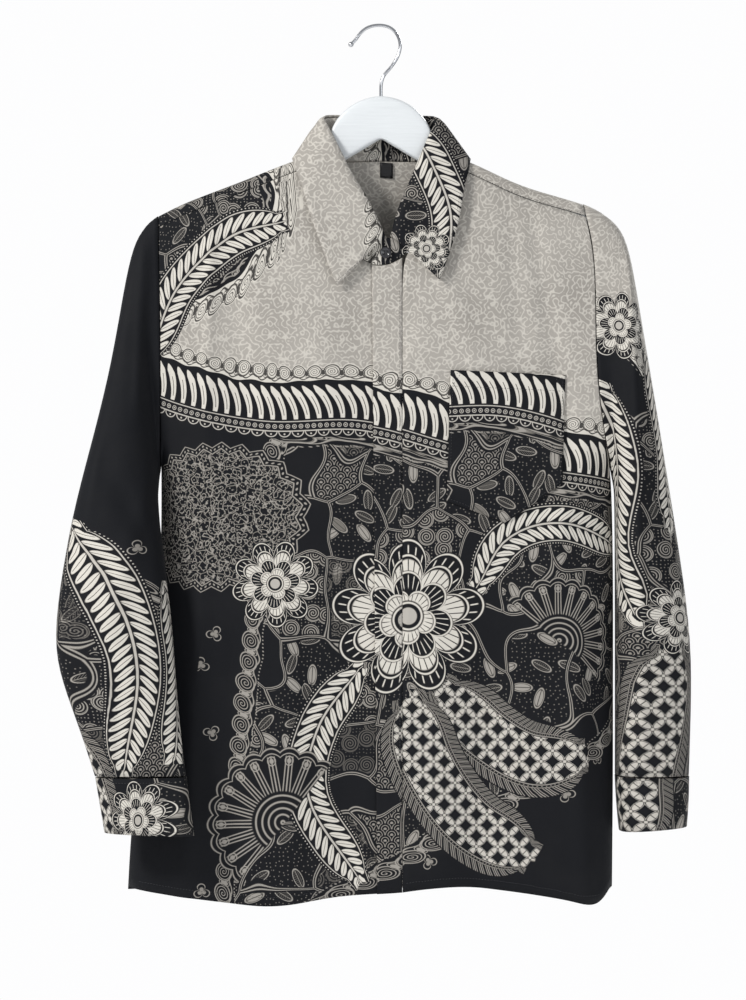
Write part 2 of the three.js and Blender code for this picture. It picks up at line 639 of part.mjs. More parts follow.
function leafPanel() {
  const stations = collarStations(COLLAR_RIGHT[0].p, COLLAR_LEFT[0].p);
  const fall = [0, 0.06, 0.16, 0.4, 0.7, 1];
  const points = stations.map(({ p, side }) => {
    const seam = neckSeam(p, side);
    const fold = collarPoint("fold", p, side);
    const edge = collarPoint("edge", p, side);
    const next = collarPoint("fold", p + 0.01, side);
    const last = collarPoint("fold", p - 0.01, side);
    const run = new THREE.Vector3().subVectors(next, last).normalize();
    const rise = new THREE.Vector3().subVectors(fold, seam);
    const up = rise.addScaledVector(run, -rise.dot(run)).normalize();
    const out = new THREE.Vector3().crossVectors(up, run).multiplyScalar(-side).normalize();
    return { fold, edge, up, out };
  });
  // The fold rolls over the band's top edge, and the leaf comes back to the chest as it falls.
  const over = STIFF_CLOTH + 0.5;
  const roll = { start: -0.2, shoulder: 3.6, shoulderRise: 0.9, below: 4.2 };
  const grid = fall.map((v, row) =>
    points.map(({ fold, edge, up, out }) => {
      const point = fold.clone().lerp(edge, v);
      if (row === 0) return point.addScaledVector(up, over).addScaledVector(out, roll.start);
      if (row > 1) return point.addScaledVector(out, roll.below * (1 - v));
      point.addScaledVector(up, over * roll.shoulderRise);
      return point.addScaledVector(out, roll.shoulder);
    }),
  );
  return clothWall(grid, STIFF_CLOTH);
}

// The size label hangs inside the yoke from the back neck seam.
function labelPatch() {
  const grid = steps(1).map((v) =>
    steps(1).map((u) => {
      const x = lerp(LABEL.left, LABEL.right, u);
      const along = BACK_NECK + 1 + LABEL.height * v;
      const point = yokePoint(x, along);
      point.y -= CLOTH + ON_PANEL;
      return point;
    }),
  );
  return clothWall(grid, LABEL.wall);
}

// ---- Buttons ----

function buttonDisc() {
  const { radius, thickness, rim, holeRadius, holeSpread } = BUTTON;
  const profile = [
    [0, 0],
    [radius - rim, 0],
    [radius, rim],
    [radius, thickness - rim],
    [radius - rim, thickness],
    [radius - 4 * rim, thickness - rim],
    [0, thickness - rim],
  ].map(([across, up]) => new THREE.Vector2(across, up));
  let disc = solid(new THREE.LatheGeometry(profile, 20));
  for (let i = 0; i < 4; i += 1) {
    const hole = new THREE.CylinderGeometry(holeRadius, holeRadius, 3 * thickness, 6);
    const angle = degToRad(45 + 90 * i);
    hole.translate(holeSpread * Math.cos(angle), 0, holeSpread * Math.sin(angle));
    disc = disc.subtract(solid(hole));
  }
  return geometryFrom(disc);
}

// ---- Hanger ----

const hangerX = (x) => x - HANGER.centre;
function hangerTop(x) {
  const reach = Math.abs(hangerX(x));
  const dome = HANGER.domeZ + Math.sqrt(Math.max(HANGER.domeRadius ** 2 - reach ** 2, 0));
  const arm = ridge(x) - CLOTH - HANGER.cloth;
  return reach < HANGER.domeRadius ? Math.max(dome, arm) : arm;
}
function hangerBottom(x) {
  const reach = Math.abs(hangerX(x));
  const notch = HANGER.notchZ - HANGER.notchSlope * reach;
  const height = lerp(HANGER.armHeight, HANGER.tipHeight, reach / HANGER.reach);
  const arm = ridge(x) - CLOTH - HANGER.cloth - height;
  return Math.max(notch, arm);
}

function hangerBoard() {
  const domeSteps = 7;
  const armSteps = 9;
  const half = [];
  for (let i = 0; i <= domeSteps; i += 1) {
    half.push(HANGER.domeRadius * Math.sin((i / domeSteps) * degToRad(90)));
  }
  for (let i = 1; i <= armSteps; i += 1) {
    half.push(lerp(HANGER.domeRadius + 1, HANGER.reach - HANGER.tipRadius, i / armSteps));
  }
  const tipSteps = [4.5, 2, 0.6]; // distances from the end, close enough to show it round
  for (const back of tipSteps) half.push(HANGER.reach - back);
  const reaches = [...half.slice(1).reverse().map((x) => -x), ...half];
  const rings = reaches.map((reach) => {
    const x = HANGER.centre + reach;
    const fromTip = clamp((HANGER.reach - Math.abs(reach)) / HANGER.tipRadius, 0, 1);
    const round = Math.sqrt(1 - (1 - fromTip) ** 2);
    const top = hangerTop(x);
    const bottom = hangerBottom(x);
    const middle = (top + bottom) / 2;
    const halfHeight = ((top - bottom) / 2) * round;
    const halfWidth = (HANGER.thickness / 2) * lerp(HANGER.tipThinness, 1, round);
    const corner = Math.min(HANGER.corner, halfHeight * 0.9, halfWidth * 0.9);
    // Each corner of the section is a quarter circle of three points.
    return Array.from({ length: 12 }, (unused, i) => {
      const quarter = Math.floor(i / 3);
      const angle = degToRad(90 * quarter + 45 * (i % 3));
      const signY = quarter === 0 || quarter === 3 ? 1 : -1;
      const signZ = quarter < 2 ? 1 : -1;
      const y = signY * (halfWidth - corner) + corner * Math.cos(angle);
      const z = middle + signZ * (halfHeight - corner) + corner * Math.sin(angle);
      return new THREE.Vector3(x, y, z);
    });
  });
  const { radius, bottom, length } = HOOK_BORE;
  const bore = new THREE.CylinderGeometry(radius, radius, length, 12);
  bore.rotateX(degToRad(90));
  bore.translate(HANGER.centre, 0, bottom + length / 2);
  return geometryFrom(solid(loft(rings)).subtract(solid(bore)));
}

function hangerHook() {
  const path = new THREE.CatmullRomCurve3(HOOK_PATH.map(({ x, z }) => new THREE.Vector3(x, 0, z)));
  const section = new THREE.Shape().absarc(0, 0, HOOK_WIRE, 0, 2 * Math.PI);
  const wire = new THREE.ExtrudeGeometry(section, { steps: 40, curveSegments: 5, extrudePath: path });
  const ball = new THREE.SphereGeometry(HOOK_BALL, 12, 8);
  ball.translate(HOOK_PATH[0].x, 0, HOOK_PATH[0].z);
  return geometryFrom(solid(wire).add(solid(ball)));
}

// ---- The object ----

function cotton(colour) {
  return new THREE.MeshStandardMaterial({ color: colour, roughness: 0.85, metalness: 0 });
}
const shirt = new THREE.Group();
function add(name, geometry, material) {
  const mesh = new THREE.Mesh(geometry, material);
  mesh.name = name;
  shirt.add(mesh);
  return mesh;
}

add("back", backPanel(), cotton(0x2a2b2e));
add("yoke", yokePanel(), cotton(0xa9a39b));
add("right_front", frontPanel(-1, PLACKET.underlap), cotton(0x33343a));
add("left_front", frontPanel(1, PLACKET.seam + SEAM_GAP), cotton(0x55524f));
add("left_placket", placketPanel(), cotton(0x6d6964));
add("chest_pocket", pocketPanel(), cotton(0x8a857e));
add("right_sleeve", sleeveTube(-1, RIGHT_SLEEVE), cotton(0x1a1d22));
add("left_sleeve", sleeveTube(1, LEFT_SLEEVE), cotton(0x3a3836));
add("right_cuff", cuffTube(-1, RIGHT_CUFF), cotton(0x26272b));
add("left_cuff", cuffTube(1, LEFT_CUFF), cotton(0x2e2d2d));
add("collar_stand", standBand(), cotton(0x9c978f));
add("collar_leaf", leafPanel(), cotton(0x8e8982));
add("neck_label", labelPatch(), cotton(0x0c0d10));

const buttonFinish = new THREE.MeshStandardMaterial({ color: 0x16171a, roughness: 0.35, metalness: 0 });
const collarButton = add("collar_button", buttonDisc(), buttonFinish);
collarButton.rotation.x = degToRad(180);
const buttonUp = 0.46; // share of the band's height
const buttonSeat = neckSeam(0, 1).lerp(collarPoint("fold", 0, 1), buttonUp);
collarButton.position.set(5.5, buttonSeat.y - BUTTON.lift, buttonSeat.z);

// Each cuff buttons on its back face.
const CUFF_LIFT = 0.8;
const CUFF_BUTTONS = [
  { name: "right_cuff_button", section: RIGHT_CUFF[1], x: -245 },
  { name: "left_cuff_button", section: LEFT_CUFF[1], x: 284 },
];
for (const { name, section, x } of CUFF_BUTTONS) {
  const button = add(name, buttonDisc(), buttonFinish);
  button.position.set(x, section.mid + section.half + CUFF_LIFT, section.outZ);
}

const paintedWood = new THREE.MeshStandardMaterial({ color: 0xe6eaee, roughness: 0.4, metalness: 0 });
const chrome = new THREE.MeshStandardMaterial({ color: 0xc9ccd0, roughness: 0.15, metalness: 1 });
add("hanger_board", hangerBoard(), paintedWood);
add("hanger_hook", hangerHook(), chrome);

export default shirt;
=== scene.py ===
import math

import bmesh
import bpy
import numpy as np
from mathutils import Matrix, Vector
from mathutils.bvhtree import BVHTree


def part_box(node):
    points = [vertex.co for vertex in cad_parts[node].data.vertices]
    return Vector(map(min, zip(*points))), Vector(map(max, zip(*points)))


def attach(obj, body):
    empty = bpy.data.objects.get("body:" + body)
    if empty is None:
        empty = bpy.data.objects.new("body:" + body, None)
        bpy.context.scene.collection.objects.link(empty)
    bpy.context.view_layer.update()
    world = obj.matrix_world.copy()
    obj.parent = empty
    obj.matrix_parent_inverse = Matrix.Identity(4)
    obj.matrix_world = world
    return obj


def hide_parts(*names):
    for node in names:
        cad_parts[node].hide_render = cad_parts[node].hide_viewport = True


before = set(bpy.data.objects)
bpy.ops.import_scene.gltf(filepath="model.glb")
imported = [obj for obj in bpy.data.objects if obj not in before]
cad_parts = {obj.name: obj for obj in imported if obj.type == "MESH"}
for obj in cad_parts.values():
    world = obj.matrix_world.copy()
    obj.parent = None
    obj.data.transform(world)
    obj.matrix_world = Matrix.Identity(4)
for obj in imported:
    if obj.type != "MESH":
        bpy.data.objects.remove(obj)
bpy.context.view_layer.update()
MM = 0.001

# ---- Camera, lights and floor ----

camera = bpy.data.objects.new("camera", bpy.data.cameras.new("camera"))
camera.data.sensor_width = 36
camera.data.sensor_fit = "AUTO"
camera.data.lens = 108
camera.location = (-0.007, -3.0, -0.473)
camera.rotation_euler = (math.radians(90), 0, 0)
bpy.context.scene.collection.objects.link(camera)
bpy.context.scene.camera = camera


def area_light(name, place, aim, size, power, tint):
    lamp = bpy.data.objects.new(name, bpy.data.lights.new(name, "AREA"))
    lamp.data.shape = "DISK"
    lamp.data.size = size
    lamp.data.energy = power
    lamp.data.color = tint
    lamp.location = place
    lamp.rotation_euler = (Vector(aim) - Vector(place)).to_track_quat("-Z", "Y").to_euler()
    bpy.context.scene.collection.objects.link(lamp)


area_light("window_light", (-1.9, -1.5, 1.1), (0, 0, -0.5), 0.7, 62, (1.0, 0.985, 0.96))
area_light("fill_light", (1.5, -2.4, -0.1), (0, 0, -0.45), 1.4, 12, (0.96, 0.98, 1.0))
area_light("back_light", (1.4, 2.2, 1.0), (0, 0, -0.45), 1.2, 50, (1.0, 1.0, 1.0))

# The pale room shows as it is, and lights the shirt less than it would alone, so that folds keep their shade.
world = bpy.data.worlds.new("pale_room")
world.use_nodes = True
room = world.node_tree
shown = room.nodes["Background"]
shown.inputs["Color"].default_value = (0.985, 0.985, 0.99, 1)
shown.inputs["Strength"].default_value = 1.0
lit = room.nodes.new("ShaderNodeBackground")
lit.inputs["Color"].default_value = (0.95, 0.97, 1.0, 1)
lit.inputs["Strength"].default_value = 0.42
choice = room.nodes.new("ShaderNodeMixShader")
sight = room.nodes.new("ShaderNodeLightPath")
room.links.new(sight.outputs["Is Camera Ray"], choice.inputs[0])
room.links.new(lit.outputs[0], choice.inputs[1])
room.links.new(shown.outputs[0], choice.inputs[2])
room.links.new(choice.outputs[0], room.nodes["World Output"].inputs["Surface"])
bpy.context.scene.world = world

floor_mesh = bpy.data.meshes.new("floor")
FLOOR_Z = -1.75
floor_mesh.from_pydata([(-3, -3, FLOOR_Z), (3, -3, FLOOR_Z), (3, 3, FLOOR_Z), (-3, 3, FLOOR_Z)], [], [(0, 1, 2, 3)])
floor = bpy.data.objects.new("floor", floor_mesh)
bpy.context.scene.collection.objects.link(floor)
pale = bpy.data.materials.new("pale_floor")
pale.use_nodes = True
pale.node_tree.nodes["Principled BSDF"].inputs["Base Color"].default_value = (0.82, 0.82, 0.82, 1)
pale.node_tree.nodes["Principled BSDF"].inputs["Roughness"].default_value = 0.9
pale.node_tree.nodes["Principled BSDF"].inputs["Emission Color"].default_value = (1, 1, 1, 1)
pale.node_tree.nodes["Principled BSDF"].inputs["Emission Strength"].default_value = 0.42
floor_mesh.materials.append(pale)
bpy.context.scene.view_settings.view_transform = "Standard"

# ---- Printed cotton ----
# Plain-weave cotton, matt with a soft sheen, printed in the wax-resist manner: a black ground, cream lines
# and white fills, and a grey ground of small curls. One bolt of it makes every sewn piece.

FAR = 900.0  # a distance in print space where no motif reaches
LINE = 0.49  # tone of the drawn lines, where 0 is black and 1 is the bare cotton


class Term:
    """A number that a shader's nodes work out."""

    tree = None

    def __init__(self, socket):
        self.socket = socket

    def _made(self, operation, *others, clamp=False):
        node = Term.tree.nodes.new("ShaderNodeMath")
        node.operation = operation
        node.use_clamp = clamp
        for place, other in zip(node.inputs, (self, *others), strict=False):
            if isinstance(other, Term):
                Term.tree.links.new(other.socket, place)
            else:
                place.default_value = other
        return Term(node.outputs[0])

    def __add__(self, other):
        return self._made("ADD", other)

    def __sub__(self, other):
        return self._made("SUBTRACT", other)

    def __mul__(self, other):
        return self._made("MULTIPLY", other)

    def __truediv__(self, other):
        return self._made("DIVIDE", other)

    def __abs__(self):
        return self._made("ABSOLUTE")

    def root(self):
        return self._made("SQRT")

    def sine(self):
        return self._made("SINE")

    def cosine(self):
        return self._made("COSINE")

    def angle(self, other):
        return self._made("ARCTAN2", other)

    def least(self, other):
        return self._made("MINIMUM", other)

    def most(self, other):
        return self._made("MAXIMUM", other)

    def floor(self):
        return self._made("FLOOR")

    def part(self, period):
        """How far into its repeat, from -0.5 to 0.5 of the period."""
        return ((self / period)._made("FRACT") - 0.5) * period

    def under(self, limit, soft=0.22):
        """1 below the limit and 0 above it, with a soft edge."""
        return ((self - limit) * (-0.5 / soft))._made("ADD", 0.5, clamp=True)

    def both(self, other):
        return self * other

    def opposite(self):
        return (self * -1.0) + 1.0


def either(*masks):
    made = masks[0]
    for mask in masks[1:]:
        made = made.most(mask)
    return made


def within(a, b):
    return (a * a + b * b).root()


def painted(under_tone, tone, mask):
    """The tone where the mask is 1, over what was there."""
    return under_tone + (tone - under_tone if isinstance(tone, Term) else (under_tone * -1.0) + tone) * mask


def vector_of(name):
    node = Term.tree.nodes.new("ShaderNodeAttribute")
    node.attribute_name = name
    split = Term.tree.nodes.new("ShaderNodeSeparateXYZ")
    Term.tree.links.new(node.outputs["Vector"], split.inputs[0])
    return [Term(split.outputs[i]) for i in range(3)]


def joined(x, y):
    node = Term.tree.nodes.new("ShaderNodeCombineXYZ")
    for place, value in zip(node.inputs, (x, y), strict=False):
        Term.tree.links.new(value.socket, place)
    return node.outputs[0]


def noise(x, y, size, detail=0.0):
    node = Term.tree.nodes.new("ShaderNodeTexNoise")
    node.noise_dimensions = "2D"
    Term.tree.links.new(joined(x, y), node.inputs["Vector"])
    node.inputs["Scale"].default_value = 1 / size
    node.inputs["Detail"].default_value = detail
    return Term(node.outputs[0])


def scattered(x, y, size, loose=1.0):
    """Where the nearest of many scattered points lies from here, and a random number for it."""
    node = Term.tree.nodes.new("ShaderNodeTexVoronoi")
    node.voronoi_dimensions = "2D"
    Term.tree.links.new(joined(x, y), node.inputs["Vector"])
    node.inputs["Scale"].default_value = 1 / size
    node.inputs["Randomness"].default_value = loose
    split = Term.tree.nodes.new("ShaderNodeSeparateXYZ")
    Term.tree.links.new(node.outputs["Position"], split.inputs[0])
    hue = Term.tree.nodes.new("ShaderNodeSeparateColor")
    Term.tree.links.new(node.outputs["Color"], hue.inputs[0])
    return x - Term(split.outputs[0]), y - Term(split.outputs[1]), Term(hue.outputs[0])


def curls(x, y):
    """Curling lines all over, as a ground."""
    drawn = noise(x, y, 6.5) * 2.4 + noise(x + 40.0, y, 3.2) * 0.55
    return abs(drawn.part(1.0)).under(0.15, 0.1)


def small_coral(x, y):
    """Fine branching lines with dots between them."""
    drawn = abs((noise(x, y, 9.0) * 3.0 + noise(x, y + 90.0, 4.2) * 0.6).part(1.0))
    bent_x = x + (noise(x, y, 7.0) - 0.5) * 7.0
    twigs = gap_between(bent_x, y, 8.0).under(0.34, 0.25)
    dot_x, dot_y, _ = scattered(x, y, 4.4, 0.8)
    return either(drawn.under(0.09, 0.05), twigs * 0.9, within(dot_x, dot_y).under(0.65))


def gap_between(x, y, size):
    """How far the nearest line between two neighbouring patches is."""
    node = Term.tree.nodes.new("ShaderNodeTexVoronoi")
    node.voronoi_dimensions = "2D"
    node.feature = "DISTANCE_TO_EDGE"
    Term.tree.links.new(joined(x, y), node.inputs["Vector"])
    node.inputs["Scale"].default_value = 1 / size
    return Term(node.outputs["Distance"]) * size


def leaves(x, y, size):
    """Scattered leaves, each with its rib, every third one white."""
    dx, dy, chance = scattered(x, y, size, 0.8)
    turn = chance * 12.0
    a = dx * turn.cosine() + dy * turn.sine()
    b = dy * turn.cosine() - dx * turn.sine()
    shape = within(a / (size * 0.46), b / (size * 0.19 + 0.2))
    rib = abs(b).under(0.28) * shape.under(0.75, 0.05)
    white = (chance * 3.0).part(1.0).under(-0.1, 0.02)
    body = shape.under(0.72, 0.05) * white * rib.opposite()
    side = abs((a + abs(b) * 1.3).part(2.4)).under(0.22) * shape.under(0.7, 0.05) * white.opposite()
    dot_x, dot_y, _ = scattered(x, y, 4.6, 0.7)
    dots = within(dot_x, dot_y).under(0.55) * shape.under(1.15, 0.05).opposite()
    return either(body, abs(shape - 0.86).under(0.075, 0.035), rib * white.opposite(), side * 0.8, dots * 0.75)


def scales(x, y, size):
    """Rows of ringed scales."""
    low = within(x.part(size), y.part(size * 0.9) + size * 0.4)
    high = within((x + size / 2).part(size), (y + size * 0.45).part(size * 0.9) + size * 0.4)
    reach = low.least(high)
    return either(abs(reach.part(size * 0.19)).under(0.34), reach.under(size * 0.07))


def trefoils(x, y, size):
    """Small three-lobed leaves far apart."""
    dx, dy, chance = scattered(x, y, size, 0.7)
    reach = within(dx, dy)
    lobes = abs((dx.angle(dy) * 1.5 + chance * 6.0).cosine()).root() * 7.5
    few = chance.under(0.55, 0.01)
    line = abs(reach - lobes).under(0.5)
    heart = (reach - lobes * 0.55).under(0.0)
    return either(line, heart * 0.9) * few


def scrolls(s, d, size):
    """A row of curls that springs from a waving stem along an edge."""
    step = size * 2.3
    across = s.part(step)
    reach = within(across, d - size)
    turn = across.angle(d - size) * (1 / (2 * math.pi))
    wound = abs((reach / (size * 0.3) + turn).part(1.0)).under(0.15, 0.06) * reach.under(size * 0.92)
    rim = abs(reach - size).under(0.55)
    stem = abs(d - (s * (2 * math.pi / step)).sine() * 1.6).under(0.6)
    leaf = within((across._made("ABSOLUTE") - step / 2) / 2.6, (d - size * 0.8) / (size * 0.62))
    leafy = either(leaf.under(0.75, 0.06), abs(leaf - 1.05).under(0.08, 0.04))
    beads = within(s.part(step / 6), d + 4.2).under(0.75)
    cover = either(reach.under(size + 1.4), leaf.under(1.35, 0.05), abs(d).under(3.2))
    return either(wound, rim, stem, leafy, beads), either(cover, beads)


def shells(x, y, size):
    """Round curls of several turns, each in a ring, with dots between."""
    dx, dy, chance = scattered(x, y, size, 0.75)
    reach = within(dx, dy)
    turn = dx.angle(dy) * (1 / (2 * math.pi))
    hand = (chance - 0.5)._made("SIGN")
    wound = abs((reach / (size * 0.13) + turn * hand).part(1.0))
    rim = abs(reach - size * 0.43)
    inner = reach.under(size * 0.4) * wound.under(0.2, 0.08)
    dot_x, dot_y, _ = scattered(x, y, 3.4, 0.3)
    dots = within(dot_x, dot_y).under(0.55) * reach.under(size * 0.5).opposite()
    return either(inner, rim.under(0.42), dots * 0.85)


def kawung(x, y, cell):
    """Four-petalled fruit on a turned lattice, in double outline, with a small diamond where they meet."""
    a = (x + y) * 0.7071
    b = (y - x) * 0.7071
    pa = a.part(cell)
    pb = b.part(cell)
    qa = (a + cell / 2).part(cell)
    qb = (b + cell / 2).part(cell)
    petal = within(pa / (cell * 0.46), qb / (cell * 0.2)).least(within(qa / (cell * 0.2), pb / (cell * 0.46)))
    knot = (abs(qa) + abs(qb)).under(cell * 0.12)
    seed = abs(pa).least(abs(pb)).under(0.35)
    return either(petal.under(0.82, 0.05) * seed.opposite(), abs(petal - 1.03).under(0.05, 0.03), knot)


def plume(name):
    """A long band of white hooks that stand on a dark rim of rings. Returns its tone and where it covers."""
    s, t, _ = vector_of(name)
    lean = s + t * t * 0.014
    tooth = lean.part(11.6)
    tip = (tooth * tooth) * -0.4 + 33.0
    gap = abs(tooth).under((t * 0.075) + 2.1, 0.3)
    teeth = (t - tip).under(0.0, 0.4) * t.under(0.0).opposite() * gap
    vein = abs(tooth).under(0.36) * t.under(22.0) * t.under(4.0).opposite()
    ring = within(s.part(6.4), t + 7.0)
    rings = either(abs(ring - 1.9).under(0.35), ring.under(0.75))
    lines = either(abs(t + 2.2).under(0.5), abs(t + 11.6).under(0.6))
    arch = abs(within(s.part(12.8), t + 11.6) - 5.6).under(0.5) * (t + 11.6).under(0.0)
    beads = within(s.part(12.8), t + 14.6).under(0.9)
    tone = either(teeth * vein.opposite(), either(rings, lines, arch, beads) * 0.7)
    cover = t.under(35.0) * t.under(-19.0).opposite()
    return tone, cover


def spray(name):
    """A branch with pairs of white leaves, inside an outline that narrows to its ends."""
    s, t, width = vector_of(name)
    wide = width.most(0.5)
    side = abs(t) / wide
    slant = (s - abs(t) * 0.95).part(10.5)
    leaf = within(slant / 4.0, (side - 9.4) / 7.6)
    half = abs(slant).under(0.3) * side.under(15.5)
    stem = side.under(1.0)
    hem = abs(side - 19.0)
    dots = within(s.part(3.2), (side - 21.8) * 1.0).under(0.6)
    tone = either(leaf.under(1.0, 0.07) * half.opposite(), either(stem, hem.under(0.55), dots) * 0.75)
    cover = side.under(23.5) * width.under(0.02, 0.01).opposite()
    return tone, cover


def wing(name, x, y):
    """A broad feather: kawung inside, a double rim, and hooked barbs along the outside."""
    s, t, width = vector_of(name)
    side = abs(t) / width.most(0.5)
    fill = kawung(x, y, 15.0) * side.under(22.0)
    rims = either(abs(side - 23.2).under(0.5), abs(side - 26.0).under(0.35))
    dots = within(s.part(3.0), side - 24.6).under(0.45)
    barb = abs((s - side * 0.8).part(6.8))
    reach = side.under(35.0) * side.under(26.5).opposite()
    barbs = either(abs(barb - 1.9).under(0.38), barb.under(0.5)) * reach
    tone = either(fill * 0.82, either(rims, dots, barbs) * LINE)
    cover = side.under(36.0) * width.under(0.02, 0.01).opposite()
    return tone, cover


def bloom(name):
    """A many-petalled flower seen from above: rows of pointed petals round a ringed heart."""
    p, q, _ = vector_of(name)
    reach = within(p, q)
    turn = p.angle(q)
    tone = reach.under(0.0)
    cover = None
    for petals, size, shift, inside in ((9, 1.0, 0.0, 0.0), (9, 0.8, 0.35, 1.0), (7, 0.58, 0.0, 0.0), (5, 0.36, 0.3, 1.0)):
        bend = abs((turn * (petals / 2) + shift * petals).cosine())
        edge = (bend.root() * 0.42 + 0.58) * size
        inner = (reach - edge).under(0.0, 0.01)
        tone = painted(tone, 0.0, inner)
        veins = abs((turn * (petals * 3.0)).sine()).under(0.26, 0.1) * (reach - edge * 0.62).under(0.0, 0.02).opposite()
        body = (reach - edge * 0.9).under(0.0, 0.012)
        tone = painted(tone, inside, body)
        tone = painted(tone, 1.0 - inside, body * veins)
        tone = either(tone, abs(reach - edge * 0.965).under(0.012, 0.006))
        cover = inner if cover is None else cover.most(inner)
    heart = reach.under(0.2, 0.01)
    tone = painted(tone, 0.0, heart)
    tone = either(tone, abs(reach - 0.17).under(0.012, 0.006), reach.under(0.11, 0.006) * 0.62)
    return tone, cover


def fan(name):
    """A half-round tail of long barbs with curled tips, over a ringed root."""
    p, q, _ = vector_of(name)
    reach = within(p, q)
    turn = p.angle(q)
    barb = turn.part(math.pi / 11)
    tip = (barb * barb) * -3.2 + 1.0
    lines = abs(barb) * reach
    shaft = either(abs(lines - 0.045).under(0.008, 0.004), lines.under(0.01, 0.004))
    long_part = shaft * (reach - tip * 0.9).under(0.0, 0.01) * reach.under(0.42, 0.01).opposite()
    edges = either(abs(reach - tip).under(0.011, 0.006), abs(reach - tip * 0.93).under(0.008, 0.004))
    eye = within(barb * 0.94, reach - 0.83)
    eyes = either(eye.under(0.035, 0.008), abs(eye - 0.06).under(0.008, 0.004))
    root_rings = abs((reach + 0.02).part(0.085)).under(0.013, 0.006) * reach.under(0.42, 0.01)
    tone = either(long_part, edges, eyes, root_rings) * LINE
    half = (q * -1.0).under(0.02, 0.01)
    return tone, (reach - tip).under(0.015, 0.006) * half


def printed_cotton():
    material = bpy.data.materials.new("printed_cotton")
    material.use_nodes = True
    Term.tree = material.node_tree
    links = material.node_tree.links
    x, y, _ = vector_of("cloth")
    grey, lush, cloud = vector_of("grounds")
    along_grey, along_lush, along_cloud = vector_of("borders")
    wobble = (noise(x, y, 22.0) - 0.5) * 9.0
    # The plain grounds, from the bottom up: black, then the lush ornament, the vine cloud and the grey.
    tone = trefoils(x, y, 44.0) * LINE * (abs(lush) - 52.0).under(0.0)
    rich = (lush * -1.0 + wobble * 0.5).under(0.0)
    bent_x = x + (noise(x, y, 52.0) - 0.5) * 44.0
    bent_y = y + (noise(x + 300.0, y, 52.0) - 0.5) * 44.0
    _, _, kind = scattered(bent_x, bent_y, 62.0)
    parting = gap_between(bent_x, bent_y, 62.0)
    filling = painted(shells(x, y, 19.0), leaves(x, y, 25.0), kind.under(0.62, 0.005))
    filling = painted(filling, scales(x, y, 13.0), kind.under(0.24, 0.005))
    filling = painted(filling, 0.0, either(parting.under(3.6), (kind * -1.0 + 0.86).under(0.0, 0.005)))
    filling = either(filling, abs(parting - 1.1).under(0.5))
    tone = painted(tone, filling * LINE, rich)
    made, cover = scrolls(along_lush, lush * -1.0 + wobble * 0.5 + 2.0, 8.5)
    tone = painted(tone, made * LINE, cover)
    inner = cloud - abs(along_cloud.part(19.0)) * 0.6
    vine = (inner * -1.0).under(0.0)
    tone = painted(tone, small_coral(x, y) * LINE, vine)
    tone = painted(tone, 0.0, abs(inner + 3.5).under(4.5))
    border = either(
        abs(inner).under(0.6),
        abs(inner + 6.2).under(0.5),
        within(along_cloud.part(4.2), inner + 3.0).under(1.0),
    )
    tone = either(tone, border * LINE)
    edge = grey - wobble * 0.7
    pale = (edge * -1.0).under(0.0)
    ground = curls(x, y) * 0.3 + 0.52 + (noise(x, y, 60.0) - 0.5) * 0.08
    tone = painted(tone, ground, pale)
    tone = painted(tone, 0.0, (abs(edge) - 3.4).under(0.0))
    tone = either(tone, abs(edge - 1.7).under(0.5) * 0.9)
    made, cover = scrolls(along_grey, edge - 3.0, 7.0)
    tone = painted(tone, made * -0.85 + 0.95, cover * pale)
    for made, cover in (
        wing("wing_a", x, y),
        wing("wing_b", x, y),
        spray("spray_a"),
        spray("spray_b"),
        spray("spray_c"),
        plume("plume"),
        bloom("bloom_a"),
        bloom("bloom_b"),
        fan("fan_a"),
        fan("fan_b"),
    ):
        tone = painted(tone, made, cover)
    # Wax cracks let a little dye into the white, and no dyed black is quite even.
    crack = (gap_between(x + wobble, y, 26.0) - 0.05).under(0.0, 0.12) * 0.14
    tone = tone - crack * tone + (noise(x, y, 80.0, 3.0) - 0.5) * 0.02
    ramp = material.node_tree.nodes.new("ShaderNodeValToRGB")
    stops = ramp.color_ramp
    stops.elements[0].position, stops.elements[0].color = 0.0, (0.0048, 0.0055, 0.0078, 1)
    stops.elements[1].position, stops.elements[1].color = 1.0, (0.66, 0.63, 0.57, 1)
    for place, colour in ((0.38, (0.2, 0.185, 0.165, 1)), (0.56, (0.42, 0.395, 0.36, 1))):
        stops.elements.new(place).color = colour
    links.new(tone.socket, ramp.inputs[0])
    shader = material.node_tree.nodes["Principled BSDF"]
    links.new(ramp.outputs[0], shader.inputs["Base Color"])
    shader.inputs["Roughness"].default_value = 0.74
    shader.inputs["Specular IOR Level"].default_value = 0.2
    shader.inputs["Sheen Weight"].default_value = 0.025
    shader.inputs["Sheen Roughness"].default_value = 0.4
    weave = (x * 9.0).sine() * (y * 9.0).sine()
    puckers = noise(x, y, 14.0, 2.0)
    bump = material.node_tree.nodes.new("ShaderNodeBump")
    bump.inputs["Strength"].default_value = 0.35
    bump.inputs["Distance"].default_value = 0.0012
    links.new((weave * 0.03 + puckers).socket, bump.inputs["Height"])
    links.new(bump.outputs[0], shader.inputs["Normal"])
    return material


COTTON = printed_cotton()


def curve_through(points, count=90):
    """A smooth line through a few (x, z) points, as an array."""
    rows = np.array(points, float)
    rows = np.vstack([2 * rows[0] - rows[1], rows, 2 * rows[-1] - rows[-2]])
    out = []
    spans = len(rows) - 3
    for at in np.linspace(0, spans - 1e-6, count):
        i = int(at)
        u = at - i
        a, b, c, d = rows[i : i + 4]
        out.append(0.5 * (2 * b + (c - a) * u + (2 * a - 5 * b + 4 * c - d) * u**2 + (3 * b - a - 3 * c + d) * u**3))
    return np.array(out)


